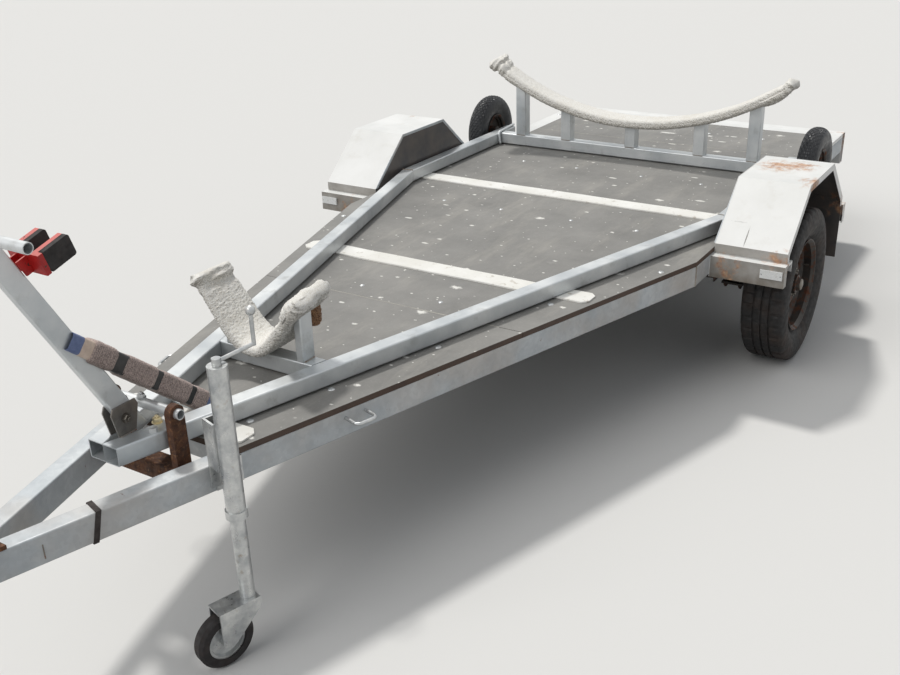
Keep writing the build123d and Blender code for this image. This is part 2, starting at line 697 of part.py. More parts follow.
def snubber():
    """Channel bracket behind the post that holds the bow between two rubber-faced cheeks."""
    up, back = up_and_back(SNUB_LEAN)
    place = Plane(origin=(0, *SNUB_AT), x_dir=(1, 0, 0), z_dir=tuple(back))
    half = SNUB_TALL / 2
    bracket = [block((-43, 57), (-half, half), (-12, 0))]
    pads = []
    for low in (-43, 30):
        bracket.append(block((low, low + 13), (-half, half), (-1, SNUB_LONG - 4)))
        pads.append(block((low + 13 + GAP, low + 27), (-half, half), (GAP, SNUB_LONG)))
    foot = place * (block((-17, 17), (-20, 20), (-60, -12)) - block((-13, 13), (-30, 30), (-80, -12)))
    save("snubber_bracket", place * joined(bracket) + behind_post(foot, GAP))
    save("snubber_pads", *[place * fillet(pad.edges().filter_by(Axis.X), 6) for pad in pads])


def clamp():
    """Two upright lugs on the clamp member and the bar between them, over the cradle's tubes."""
    y, z = CLAMP_Y, 634.0
    rounded = block((90, 130), (y - 30, y + 30), (480, z))
    rounded += round_bar((90, y, z), (130, y, z), 22)
    lug = block((98, 118), (y - 22, y + 22), (RAIL_TOP - 25 + GAP, z + 22)) & rounded
    lug -= round_bar((90, y, z), (130, y, z), 13 + GAP)
    save("clamp_lugs", *both_sides(lug))
    save("clamp_bar", round_bar((-130, y, z), (130, y, z), 13, 10.5))


def jockey_plane():
    """Plane at the jockey wheel's pivot: x outward from the arm, y rearward along it, z up."""
    lean = radians(TAPER)
    y, z = JOCKEY_PIVOT
    return Plane(origin=(edge_x(y), y, z), x_dir=(cos(lean), -sin(lean), 0), z_dir=(0, 0, 1))


def upright(x, y, low, high, radius, bore=0):
    return round_bar((x, y, low), (x, y, high), radius, bore)


def jockey_bracket():
    """Swing plate on the pivot, with the channel that the tube is welded into."""
    x, y = JOCKEY_X, JOCKEY_Y
    low, high = CHANNEL
    plate = block((14.3, 20), (y - 28, 24), (-24, high))
    plate -= block((10, 30), (y + 28, 40), (40, high + 10))
    cheeks = [block((19, x - 8), (edge, edge + 6), (low, high)) for edge in (y - 28, y + 22)]
    return joined([plate, *cheeks]) - upright(x, y, low - 20, high + 20, JOCKEY_R + GAP)


def jockey_tube():
    """Outer tube with a collar at its foot and a cap for the screw at its head."""
    x, y = JOCKEY_X, JOCKEY_Y
    bore = LEG_R + 0.4
    tube = upright(x, y, -JOCKEY_DOWN, JOCKEY_UP - 22, JOCKEY_R, bore)
    collar = upright(x, y, -JOCKEY_DOWN, 22 - JOCKEY_DOWN, JOCKEY_R + 3, bore)
    return joined([tube, collar, upright(x, y, JOCKEY_UP - 22, JOCKEY_UP, JOCKEY_R)])


def jockey_crank():
    x, y, top = JOCKEY_X, JOCKEY_Y, JOCKEY_UP
    side, reach = x - 25, y + 112
    knob = Pos(side, reach, top + 92) * Sphere(12)
    arm = round_bar((x, y, top + 9), (side, reach, top + 9), 5)
    grip = upright(side, reach, top + 5, top + 92, 5)
    return joined([upright(x, y, top + GAP, top + 18, 11), arm, grip, knob])


def jockey_fork(axle_z):
    """Plate under the leg with a cheek down each side of the wheel, trailing forward."""
    x, y = JOCKEY_X, JOCKEY_Y
    low = axle_z + JOCKEY_WHEEL_R + 10
    top = low + 5.7
    half = JOCKEY_WHEEL_W / 2 + 5
    front, rear = y - TRAIL - 16, y + LEG_R
    fork = [block((x - half - 5, x + half + 5), (front, rear), (low, top))]
    foot = axle_z - 12
    outline = ((rear, top), (front, top), (front, foot), (y - TRAIL + 16, foot), (rear, low - 22))
    cheek = polygon(outline)
    cheek = Plane.YZ * fillet(cheek.vertices().sort_by(Axis.Y)[:3], 13)
    for side in (x - half - 5, x + half):
        fork.append(Pos(side) * extrude(cheek, 5))
    fork.append(round_bar((x - half, y - TRAIL, axle_z), (x + half, y - TRAIL, axle_z), 6))
    return joined(fork)


def jockey():
    place = jockey_plane()
    axle_z = JOCKEY_WHEEL_R - JOCKEY_PIVOT[1]
    x, y = JOCKEY_X, JOCKEY_Y
    plate = block((GAP, 6), (-36, 38), (-45, 25)) + round_bar((0.3, 1, 25), (6, 1, 25), 18)
    plate += round_bar((5, 0, 0), (14, 0, 0), 11)
    save("jockey_mount", place * plate)
    save("jockey_bracket", place * jockey_bracket())
    save("jockey_tube", place * jockey_tube())
    save("jockey_crank", place * jockey_crank())
    leg_low = axle_z + JOCKEY_WHEEL_R + 16
    save("jockey_leg", place * upright(x, y, leg_low, 10, LEG_R))
    save("jockey_fork", place * jockey_fork(axle_z))
    jockey_wheel(place, (x, y - TRAIL, axle_z))


def jockey_wheel(place, centre):
    """Solid rubber tyre on a plastic centre."""
    spin = wheel_plane(*centre)
    r, w = JOCKEY_WHEEL_R, JOCKEY_WHEEL_W / 2
    tyre = ((r, -w * 0.6), (r, w * 0.6), (r - 8, w), (50, w), (50, -w), (r - 8, -w))
    bore = 6 + RUNNING
    rim = 50 - GAP
    half = [(rim, w * 0.8), (44, w * 0.8), (42, 5), (16, 5), (15, w + 3), (bore, w + 3)]
    other = [(radius, -x) for radius, x in reversed(half)]
    save("jockey_tyre", place * turned(spin, polygon(tyre)))
    save("jockey_rim", place * turned(spin, polygon(half + other)))


def main():
    os.makedirs("parts", exist_ok=True)
    frame_rails()
    frame_members()
    rear_beam()
    deck()
    save("tie_loops", *both_sides(tie_loop()))
    coupling()
    mudguards()
    axle()
    road_wheel()
    cradle_wheel()
    cradle_frame()
    bunk()
    bow_support()
    mast()
    strut()
    snubber()
    clamp()
    jockey()


main()
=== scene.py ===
"""Looks of the boat trailer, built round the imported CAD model. Metres, in the model's own frame."""
import cmath
import json
import math
import random

import bmesh
import bpy
from mathutils import Matrix, Vector, noise


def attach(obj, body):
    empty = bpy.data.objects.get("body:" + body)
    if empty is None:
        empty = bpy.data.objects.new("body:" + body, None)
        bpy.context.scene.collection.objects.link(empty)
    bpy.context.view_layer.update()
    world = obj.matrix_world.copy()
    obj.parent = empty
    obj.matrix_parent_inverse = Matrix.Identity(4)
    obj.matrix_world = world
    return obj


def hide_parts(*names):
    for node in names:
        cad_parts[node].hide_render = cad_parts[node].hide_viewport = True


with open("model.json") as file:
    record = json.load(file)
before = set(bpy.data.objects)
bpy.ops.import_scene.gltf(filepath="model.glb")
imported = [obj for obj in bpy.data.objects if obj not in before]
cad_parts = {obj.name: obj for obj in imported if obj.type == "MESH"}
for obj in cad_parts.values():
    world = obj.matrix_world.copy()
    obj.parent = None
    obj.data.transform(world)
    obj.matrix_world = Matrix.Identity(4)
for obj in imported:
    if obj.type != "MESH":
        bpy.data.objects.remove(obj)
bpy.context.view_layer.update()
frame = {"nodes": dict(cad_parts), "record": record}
NODES = frame["nodes"]

# Values that the model's source uses too
TAPER = math.radians(16.8)
BEND_Y = 0.268
HALF_WIDTH = 0.741
DECK_Z = 0.530
AXLE_Y = 0.823
WHEEL_R = 0.295
TRACK_X = 0.905
TUBE_TOP = 0.586
BUNK_Y = 1.425
BUNK_MID_Z = 1.920
BUNK_R = 1.200
BUNK_HALF = 0.690  # half the length of the curved board, along x
BUNK_PAD = 0.021  # from the board's upper face to the middle of board and carpet
BUNK_OVERHANG = 0.0115  # how far the carpet goes past each end, in radians
VEE_Y = -1.071
VEE_X = -0.016
STRUT_TOP = Vector((0, -1.678, 0.846))
STRUT_LOW = Vector((0, -1.330, 0.540))
SEAMS_Y = (-0.530, 1.765)
PIVOT = (-1.484, 0.487)  # y and z of the jockey wheel's pivot
CRADLE_AXLE = (0.800, 1.515, 0.561)
CRADLE_WHEEL_R = 0.172
SPRING_X = 0.716
ARM = (0.025, 0.0375)  # half width and half height of the drawbar's arms

SIDES = ((1, "right"), (-1, "left"))
ACROSS = Vector((0, 1, 0))  # across the carpeted boards
UP = (0, 0, 1)
MERGE = 0.00001  # corners nearer than this are one
RIPPLE = 0.0045  # length of a weld's ripple
SENSOR = 36.0  # width of the camera's sensor in millimetres
FOCAL_PIXELS = 1042.3  # focal length, in pixels of the photograph
PHOTO_PIXELS = 900  # width of the photograph


def edge_x(y):
    """Outer face of the trailer's frame."""
    return HALF_WIDTH - max(0.0, BEND_Y - y) * math.tan(TAPER)


def srgb(*tone):
    """Colour as a picture shows it, 0 to 255, as the shader wants it."""
    shares = [v / 255 for v in tone]
    return (*[v / 12.92 if v <= 0.04045 else ((v + 0.055) / 1.055) ** 2.4 for v in shares], 1.0)


# Materials
def feed(tree, target, values):
    """Sets inputs of a node: a socket is linked, and anything else is the value itself."""
    for key, value in values.items():
        if isinstance(value, bpy.types.NodeSocket):
            tree.links.new(value, target.inputs[key])
        else:
            target.inputs[key].default_value = value


def node(tree, kind, values, output=0, **attributes):
    """One output of a new node."""
    made = tree.nodes.new("ShaderNode" + kind)
    for key, value in attributes.items():
        setattr(made, key, value)
    feed(tree, made, values)
    return made.outputs[output]


LOOKS = {}  # finished materials by name


class Look:
    """A material's node tree, in short calls, with the colour that it has come to."""

    def __init__(self, name, rough=0.5, metal=0.0, **sockets):
        self.name = name
        self.material = bpy.data.materials.new(name)
        self.material.use_nodes = True
        self.tree = self.material.node_tree
        self.shader = self.tree.nodes["Principled BSDF"]
        feed(self.tree, self.shader, {"Roughness": rough, "Metallic": metal, **sockets})
        self.place = self.tree.nodes.new("ShaderNodeTexCoord").outputs["Object"]

    def node(self, kind, values, output=0, **attributes):
        return node(self.tree, kind, values, output, **attributes)

    def moved(self, stretch=(1, 1, 1), seed=0.0, turn=0.0):
        values = {"Vector": self.place, "Scale": stretch, "Location": (seed, 0.7 * seed, -seed),
                  "Rotation": (0, 0, turn)}
        return self.node("Mapping", values)

    def noise(self, scale, detail=3.0, rough=0.55, stretch=(1, 1, 1), seed=0.0, turn=0.0):
        values = {"Vector": self.moved(stretch, seed, turn), "Scale": scale, "Detail": detail,
                  "Roughness": rough}
        return self.node("TexNoise", values, "Fac")

    def cells(self, scale, seed=0.0, output="Distance", stretch=(1, 1, 1), flat=False):
        values = {"Vector": self.moved(stretch, seed), "Scale": scale}
        return self.node("TexVoronoi", values, output, voronoi_dimensions="2D" if flat else "3D")

    def band(self, value, low, high, out_low=0.0, out_high=1.0):
        values = {"Value": value, "From Min": low, "From Max": high, "To Min": out_low, "To Max": out_high}
        return self.node("MapRange", values, "Result")

    def math(self, operation, first, second=0.0):
        return self.node("Math", {0: first, 1: second}, operation=operation)

    def mix(self, amount, first, second):
        return self.node("Mix", {0: amount, 6: first, 7: second}, 2, data_type="RGBA")

    def times(self, first, second):
        return self.math("MULTIPLY", first, second)

    def blend(self, value, low, high, first, second):
        """One tone where a value is low and another where it is high."""
        return self.mix(self.band(value, low, high), srgb(*first), srgb(*second))

    def base(self, *blend):
        self.colour = self.blend(*blend)

    def cover(self, amount, tone):
        """Lays a tone over the colour."""
        self.colour = self.mix(amount, self.colour, tone)

    def stain(self, value, low, high, depth, tone):
        """Lays a tone over the colour where a value is high, as deep as that."""
        self.cover(self.band(value, low, high, 0.0, depth), srgb(*tone))

    def facing(self, axis="Z"):
        normal = self.tree.nodes.new("ShaderNodeNewGeometry").outputs["True Normal"]
        return self.node("SeparateXYZ", {"Vector": normal}, axis)

    def coordinate(self, axis):
        return self.node("SeparateXYZ", {"Vector": self.place}, axis)

    def aside(self):
        """Distance from the trailer's middle plane."""
        return self.math("ABSOLUTE", self.coordinate("X"))

    def near(self, point, reach, squash=(1, 1, 1)):
        """1 at a point, falling to 0 at that reach from it."""
        shift = self.node("VectorMath", {0: self.place, 1: point}, operation="SUBTRACT")
        scaled = self.node("VectorMath", {0: shift, 1: squash}, operation="MULTIPLY")
        far = self.node("VectorMath", {0: scaled}, "Value", operation="LENGTH")
        return self.band(far, 0.0, reach, 1.0, 0.0)

    def done(self, rough=None, height=None, depth=0.0, strength=0.0):
        """Gives the material its colour, roughness and bumps, and keeps it under its name."""
        values = {"Base Color": self.colour}
        if rough is not None:
            values["Roughness"] = rough
        if height is not None:
            values["Normal"] = self.node("Bump", {"Height": height, "Distance": depth, "Strength": strength})
        feed(self.tree, self.shader, values)
        LOOKS[self.name] = self.material


RUST = (122, 72, 44)
RUST_DARK = (70, 42, 30)
DUST = (196, 172, 146)
# splashes of white on the deck: x, y, half length and half width
DECK_SPLASHES = (
    (-0.42, 0.22, 0.035, 0.014), (-0.20, 0.0, 0.030, 0.012), (-0.12, -0.60, 0.022, 0.012),
    (-0.38, 0.43, 0.030, 0.012), (-0.30, 0.32, 0.026, 0.010), (0.51, 0.94, 0.045, 0.018),
    (0.37, 1.25, 0.034, 0.014), (0.06, 1.09, 0.040, 0.016), (0.07, 1.76, 0.040, 0.018),
    (0.27, 1.90, 0.045, 0.018), (0.29, 2.02, 0.036, 0.016), (-0.03, 1.96, 0.085, 0.030))
# smaller ones: cells a metre, reach of a splash in its cell, seed and share of the cells left bare
SPLASH_LAYERS = ((2.6, 0.030, 1.3, 0.45), (5.5, 0.034, 6.1, 0.5), (11.0, 0.036, 3.7, 0.55),
                 (24.0, 0.045, 8.3, 0.72))
SPLASH_SMEAR = (0.7, 1, 1)
# rust on the white paint: centre, reach, level that the noise has to pass and depth of the stain
BLOOMS = (
    ((0.835, 0.86, 0.732), 0.110, 0.530, 0.85), ((0.895, 0.885, 0.732), 0.095, 0.535, 0.85),
    ((1.005, 0.71, 0.705), 0.085, 0.53, 0.9), ((0.80, 0.42, 0.47), 0.10, 0.62, 0.8),
    ((0.97, 0.43, 0.52), 0.08, 0.62, 0.8), ((-0.86, 0.42, 0.455), 0.09, 0.62, 0.7),
    ((1.0, 1.20, 0.52), 0.10, 0.60, 0.8), ((-0.88, 1.00, 0.732), 0.09, 0.64, 0.7),
    ((0.74, 2.33, 0.50), 0.09, 0.62, 0.8), ((-0.74, 2.33, 0.42), 0.12, 0.62, 0.8),
    ((0.30, 2.35, 0.38), 0.10, 0.62, 0.8))
# crack in the folded sheet of one guard, upright and then across: centre, squash and depth
CRACK = (((0.8435, 0.478, 0.574), (11.0, 0.62, 0.62), 0.75), ((0.800, 0.519, 0.610), (0.9, 11.0, 11.0), 0.3))
CRACK_REACH = 0.040


def galvanised(name="galvanised", light=(214, 218, 220), dark=(178, 185, 190), rust=0.70):
    """Zinc-dipped steel: spangled, dusty, with small spots of rust above a level of the noise."""
    look = Look(name, metal=0.2)
    look.base(look.noise(7, 5, 0.6), 0.3, 0.7, dark, light)
    flake = look.node("SeparateColor", {"Color": look.cells(85, output="Color")})
    look.cover(look.times(flake, 0.22), srgb(*[v - 26 for v in dark]))
    look.stain(look.noise(3.1, 4, seed=4), 0.48, 0.75, 0.45, DUST)
    look.stain(look.noise(34, 4, 0.65, seed=9), rust, rust + 0.05, 0.85, RUST)
    rough = look.band(look.noise(26, 4, seed=2), 0.3, 0.7, 0.36, 0.6)
    look.done(rough, look.noise(140, 3), 0.0003, 0.4)


def aluminium():
    """Mill finish tube, dulled by weather, with scratches along it."""
    look = Look("aluminium", metal=0.6)
    cloud = look.noise(5, 5, 0.6)
    look.base(cloud, 0.3, 0.7, (182, 188, 192), (220, 222, 222))
    look.stain(look.noise(16, 5, 0.65, seed=3), 0.56, 0.72, 0.4, (150, 150, 146))
    lines = look.noise(240, 2, stretch=(1, 0.03, 1), turn=-0.29)
    look.done(look.band(cloud, 0.2, 0.8, 0.3, 0.52), lines, 0.00025, 0.35)


def guard_soil_and_shade(look):
    """How dark the low fronts of the guards are made: road grime together with painted shade on the faces
    that don't look up, deepest at the bottom.
    """
    low = look.times(look.band(look.coordinate("Y"), 0.452, 0.446), look.band(look.facing(), 0.5, 0.3))
    soil_and_shade = look.band(look.noise(9, 5, 0.65, seed=13), 0.25, 0.7, 0.62, 1.0)
    soil_and_shade = look.times(soil_and_shade, look.times(low, look.band(look.aside(), 0.7425, 0.7445)))
    return look.times(soil_and_shade, look.band(look.coordinate("Z"), 0.44, 0.545, 1.0, 0.75))


def guard_insides_shade(look):
    """1 on the undersides and inner sides of the guards, which get painted shade."""
    inward = look.times(look.coordinate("X"), look.facing("X"))
    panel = look.band(look.math("ABSOLUTE", inward), 0.55, 0.65)
    panel = look.times(look.band(look.aside(), 0.7475, 0.7465), panel)
    inside = look.math("MAXIMUM", look.band(look.facing(), -0.2, -0.35), look.band(inward, -0.5, -0.65))
    flap = look.times(look.band(look.facing("Y"), -0.5, -0.65), look.band(look.coordinate("Y"), 1.15, 1.16))
    inside = look.math("MAXIMUM", look.math("MAXIMUM", inside, flap), panel)
    return look.times(inside, look.band(look.aside(), 0.7420, 0.7428))


def rust_blooms(look):
    """Patches of rust about their centres, broken up by noise, and small chips anywhere."""
    breakup = look.noise(30, 6, 0.68, seed=5)
    rusty = look.band(look.noise(75, 3, seed=11), 0.775, 0.79)
    for centre, reach, level, depth in BLOOMS:
        near = look.near(centre, reach)
        patch = look.math("ADD", breakup, look.times(near, 0.24))
        patch = look.times(look.band(patch, level, level + 0.20, 0.0, depth), look.band(near, 0.0, 0.5))
        rusty = look.math("MAXIMUM", rusty, patch)
    return rusty


def white_paint():
    """Old white paint, chipped and rusting, with road grime; painted shade on the guards' low fronts,
    undersides and inner sides, and faces that look up made greyer in patches.
    """
    look = Look("white_paint", **{"Coat Weight": 0.12, "Coat Roughness": 0.35})
    look.base(look.noise(6, 4), 0.3, 0.7, (236, 236, 233), (247, 247, 245))
    look.stain(look.noise(13, 6, 0.7, seed=2), 0.55, 0.80, 0.35, (206, 200, 188))
    # Faces that look straight up are made greyer in patches.
    level = look.band(look.facing(), 0.93, 0.99, 0.0, 0.4)
    greyer_faces_up = look.times(level, look.band(look.noise(5, 5, seed=6), 0.35, 0.6))
    look.cover(greyer_faces_up, srgb(206, 208, 206))
    # Road grime and painted shade on the low fronts of the guards.
    look.cover(guard_soil_and_shade(look), srgb(108, 98, 85))
    # Painted shade in dark grey-brown on the undersides and inner sides of the guards.
    dark = look.blend(look.noise(12, 5, 0.65, seed=4), 0.35, 0.7, (44, 42, 43), (84, 72, 64))
    look.cover(look.times(guard_insides_shade(look), 0.94), dark)
    rusty = rust_blooms(look)
    tone = look.blend(look.noise(70, 4, seed=1), 0.35, 0.65, (214, 170, 130), (158, 98, 62))
    look.cover(rusty, tone)
    for point, squash, depth in CRACK:
        crack = look.band(look.near(point, CRACK_REACH, squash), 0.26, 0.55, 0.0, depth)
        crack = look.times(crack, look.band(look.noise(60, 4, seed=7), 0.38, 0.5))
        look.cover(crack, srgb(74, 62, 54))
    height = look.math("SUBTRACT", look.noise(60, 4), look.times(rusty, 0.5))
    look.done(look.band(rusty, 0.0, 1.0, 0.38, 0.85), height, 0.0005, 0.5)


def rusty_steel():
    look = Look("rusty_steel", metal=0.15)
    look.base(look.noise(40, 6, 0.7), 0.35, 0.65, (56, 37, 28), (104, 68, 46))
    look.stain(look.noise(110, 4, seed=3), 0.55, 0.75, 1.0, (146, 104, 70))
    rough = look.band(look.noise(60, 3), 0.3, 0.7, 0.65, 0.95)
    look.done(rough, look.noise(190, 5, 0.7), 0.0009, 0.8)


def zinc(name="zinc", dark=(168, 171, 173), light=(212, 213, 211)):
    look = Look(name, metal=0.8)
    look.base(look.noise(22, 5, 0.65), 0.35, 0.68, dark, light)
    look.stain(look.noise(48, 5, seed=6), 0.62, 0.78, 0.6, (148, 128, 100))
    rough = look.band(look.noise(70, 3), 0.3, 0.7, 0.25, 0.5)
    look.done(rough, look.noise(300, 2), 0.0002, 0.3)


def formply():
    """Black faced plywood, grey with dust, with splashes on top and bare layers at the edge."""
    look = Look("formply")
    layers = look.math("SINE", look.times(look.coordinate("Z"), 2300.0))
    look.base(layers, -0.5, 0.7, (56, 42, 35), (92, 70, 55))
    look.stain(look.noise(16, 4, stretch=(1, 1, 3)), 0.45, 0.7, 0.7, (50, 37, 32))
    edge = look.colour
    look.base(look.noise(3.5, 6, 0.65), 0.3, 0.7, (118, 117, 114), (146, 144, 140))
    swept = look.noise(9, 6, 0.7, stretch=(1, 0.25, 1), seed=3, turn=0.5)
    look.stain(swept, 0.52, 0.8, 0.5, (182, 178, 170))
    look.stain(look.noise(130, 3, seed=1), 0.62, 0.8, 0.35, (196, 193, 186))
    for scale, reach, seed, bare in SPLASH_LAYERS:
        wobble = look.times(look.noise(70, 4, 0.7, seed=seed), 0.09)
        splash = look.math("ADD", look.cells(scale, seed, "Distance", SPLASH_SMEAR, True), wobble)
        rare = look.cells(scale, seed, "Color", SPLASH_SMEAR, True)
        rare = look.node("SeparateColor", {"Color": rare}, 1)
        spot = look.band(splash, reach + 0.03, reach + 0.055, 1.0, 0.0)
        spot = look.times(spot, look.band(rare, bare, bare + 0.05, 0.0, 0.95))
        look.cover(spot, srgb(234, 232, 226))
    for x, y, long, wide in DECK_SPLASHES:
        near = look.near((x, y, DECK_Z), 1.0, (1 / long, 1 / wide, 1.0))
        near = look.math("ADD", near, look.times(look.noise(48, 5, 0.75, seed=x), 0.9))
        look.stain(near, 0.92, 1.10, 0.85, (232, 231, 225))
    look.cover(look.band(look.math("ABSOLUTE", look.facing()), 0.6, 0.4), edge)
    look.done(look.band(swept, 0.3, 0.75, 0.5, 0.72), look.noise(60, 5, 0.7), 0.0004, 0.5)


def coated_strap():
    look = Look("strap_white")
    look.base(look.noise(8, 5), 0.35, 0.7, (232, 230, 223), (247, 246, 242))
    look.stain(look.noise(38, 5, seed=4), 0.6, 0.74, 0.6, (160, 146, 124))
    rough = look.band(look.noise(30, 3), 0.3, 0.7, 0.45, 0.7)
    look.done(rough, look.noise(90, 4), 0.0005, 0.5)


def carpet(name, high, low, dirt_and_shade_tone):
    """Carpet speckled in a lighter and a darker tone, with grime, and with painted shade between the tufts
    on the faces that look down.
    """
    look = Look(name, rough=0.95, **{"Sheen Weight": 0.35, "Sheen Roughness": 0.5})
    look.base(look.noise(310, 3, 0.6), 0.32, 0.62, low, high)
    look.stain(look.noise(9, 5, 0.65, seed=2), 0.5, 0.8, 0.5, dirt_and_shade_tone)
    # Painted shade: a darker tone of the grime colour between the tufts, where the faces look down.
    under = look.band(look.facing(), 0.25, -0.35, 0.0, 0.9)
    shade_between_tufts = look.times(under, look.band(look.noise(190, 4, 0.7, seed=5), 0.40, 0.56, 0.35, 1.0))
    look.cover(shade_between_tufts, srgb(*[v * 0.62 for v in dirt_and_shade_tone]))
    look.done(None, look.noise(520, 3, 0.7), 0.0012, 0.9)


def board():
    look = Look("board_grey", rough=0.85)
    grain = look.noise(26, 6, 0.65, stretch=(0.12, 1, 1))
    look.base(grain, 0.35, 0.65, (96, 86, 74), (150, 138, 120))
    look.stain(look.noise(7, 4, seed=2), 0.5, 0.7, 0.6, (98, 70, 48))
    look.done(None, grain, 0.0006, 0.6)


def rubber(name, tone, dust, dusty, level=0.5, rough=0.62):
    look = Look(name)
    look.base(look.noise(24, 4), 0.3, 0.7, tone, [v + 14 for v in tone])
    look.stain(look.noise(11, 6, 0.7, seed=3), level, level + 0.25, dusty, dust)
    sheen = look.band(look.noise(60, 3), 0.3, 0.7, rough, rough + 0.28)
    look.done(sheen, look.noise(260, 4, 0.7), 0.0004, 0.6)


def red_paint():
    """Red enamel, with a painted highlight in pale pink on the faces that look up."""
    look = Look("red_paint", rough=0.42)
    look.base(look.noise(40, 5), 0.35, 0.7, (176, 20, 22), (206, 40, 36))
    # Painted highlight: pale pink on the faces that look up.
    look.stain(look.facing(), 0.45, 0.85, 0.62, (226, 140, 132))
    look.stain(look.noise(95, 4, seed=4), 0.66, 0.69, 1.0, RUST_DARK)
    look.done(None, look.noise(120, 3), 0.0003, 0.4)


def black_steel():
    look = Look("black_steel", metal=0.2)
    look.base(look.noise(30, 5), 0.3, 0.7, (40, 38, 37), (72, 66, 60))
    rusty = look.band(look.noise(26, 6, 0.7, seed=8), 0.5, 0.62, 0.0, 0.85)
    look.cover(rusty, look.mix(look.noise(80, 3), srgb(*RUST_DARK), srgb(*RUST)))
    rough = look.band(rusty, 0.0, 0.85, 0.5, 0.9)
    look.done(rough, look.noise(160, 5, 0.7), 0.0006, 0.7)


def white_reflector():
    look = Look("blank_white", rough=0.22, **{"Coat Weight": 0.5})
    grid = look.cells(420, stretch=(1, 0.2, 1))
    look.base(grid, 0.2, 0.6, (226, 228, 226), (246, 247, 246))
    look.stain(look.noise(60, 5), 0.58, 0.75, 0.5, (178, 168, 150))
    look.done(None, grid, 0.0003, 0.5)


def lamp_red():
    """Ribbed lamp glass, red inside and amber toward the trailer's sides."""
    look = Look("lamp_red", rough=0.18, **{"Coat Weight": 0.6})
    ribs = look.math("SINE", look.times(look.coordinate("X"), 1500.0))
    look.base(look.aside(), 0.668, 0.672, (150, 12, 14), (206, 104, 18))
    look.stain(look.noise(30, 5), 0.5, 0.8, 0.4, (120, 96, 76))
    look.done(None, ribs, 0.0006, 0.7)


def tape(name, tone, rough=0.35):
    look = Look(name, rough=rough)
    look.base(look.noise(70, 4), 0.35, 0.7, tone, [min(255, v + 24) for v in tone])
    look.done(None, look.noise(150, 4), 0.0006, 0.6)


# The looks, each kept under its name
galvanised()
galvanised("steel_dirty", (140, 137, 131), (74, 70, 68), 0.74)
galvanised("weld_grey", (160, 158, 152), (112, 104, 98), 0.58)
white_paint()
rusty_steel()
zinc()
zinc("zinc_dull", (92, 88, 82), (132, 126, 118))
zinc("zinc_yellow", (196, 176, 130), (238, 226, 190))
formply()
aluminium()
carpet("carpet_cream", (254, 253, 249), (224, 218, 206), (216, 207, 190))
carpet("carpet_grey", (218, 198, 190), (134, 117, 111), (166, 144, 132))
carpet("carpet_brown", (176, 136, 100), (98, 66, 44), (120, 84, 58))
board()
rubber("rubber_black", (30, 27, 27), (78, 62, 54), 0.4)
rubber("tyre_black", (24, 23, 23), (72, 56, 46), 0.5, 0.46)
rubber("tyre_clean", (20, 22, 26), (66, 66, 66), 0.35, 0.5, 0.34)
red_paint()
black_steel()
white_reflector()
lamp_red()
coated_strap()
tape("tape_black", (22, 21, 22))
tape("tape_blue", (100, 116, 158), 0.5)
tape("tape_tan", (224, 202, 184), 0.5)
tape("sealant", (168, 164, 154), 0.7)
tape("webbing_dark", (52, 46, 44), 0.9)


def dress_nodes():
    slots = {part["node"]: part["material_slot"] for part in frame["record"]["subparts"]}
    for name, thing in NODES.items():
        for place in thing.material_slots:
            place.material = LOOKS["steel_dirty" if name == "bow_gussets" else slots[name]]


# Mesh helpers
def placed(name, data):
    """New object of the scene."""
    made = bpy.data.objects.new(name, data)
    bpy.context.scene.collection.objects.link(made)
    return made


class Pile:
    """Corners and faces of one piece, gathered shape by shape."""

    def __init__(self):
        self.verts = []
        self.faces = []

    def grid(self, rows, closed_rows=False, closed=False):
        """Quads between rows of equal length."""
        start = len(self.verts)
        wide = len(rows[0])
        for row in rows:
            self.verts += [tuple(v) for v in row]
        for i in range(len(rows) if closed_rows else len(rows) - 1):
            low, high = i * wide, ((i + 1) % len(rows)) * wide
            for j in range(wide if closed else wide - 1):
                k = (j + 1) % wide
                self.faces.append(tuple(start + v for v in (low + j, low + k, high + k, high + j)))

    def cap(self, ring, flip=False):
        start = len(self.verts)
        self.verts += [tuple(v) for v in ring]
        face = list(range(start, start + len(ring)))
        self.faces.append(tuple(reversed(face)) if flip else tuple(face))

    def tube(self, rings):
        """Skin over closed rings, capped at both ends."""
        self.grid(rings, closed=True)
        self.cap(rings[0], True)
        self.cap(rings[-1])

    def sleeve(self, rings, inner):
        """Skin over closed rings and over two inner ones, of which the first is at the last ring's end."""
        self.grid(rings, closed=True)
        self.grid([rings[-1], inner[0]], closed=True)
        self.grid([inner[1], rings[0]], closed=True)
        self.grid(inner, closed=True)

    def build(self, name, look):
        mesh = bpy.data.meshes.new(name)
        mesh.from_pydata(self.verts, [], self.faces)
        mesh.materials.append(LOOKS[look])
        return placed(name, mesh)

    def piece(self, name, look, body="trailer", smooth=40):
        made = self.build(name, look)
        tidy(made.data, smooth)
        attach(made, body)
        return made

    def fitting(self, name, slot="zinc", body="trailer", smooth=40):
        """Piece in the look that goes with its slot."""
        return self.piece(name, slot, body, smooth)


def tidy(mesh, smooth):
    """Joins what meets, turns the faces outward and shades what bends gently as smooth."""
    work = bmesh.new()
    work.from_mesh(mesh)
    bmesh.ops.remove_doubles(work, verts=work.verts, dist=MERGE)
    bmesh.ops.recalc_face_normals(work, faces=work.faces)
    limit = math.radians(smooth)
    for face in work.faces:
        face.smooth = True
    for edge in work.edges:
        edge.smooth = len(edge.link_faces) == 2 and edge.calc_face_angle(0) < limit
    work.to_mesh(mesh)
    work.free()


def axes_of(direction):
    """Two unit vectors square to a direction, and its own."""
    along = Vector(direction).normalized()
    side = along.orthogonal().normalized()
    return side, along.cross(side), along


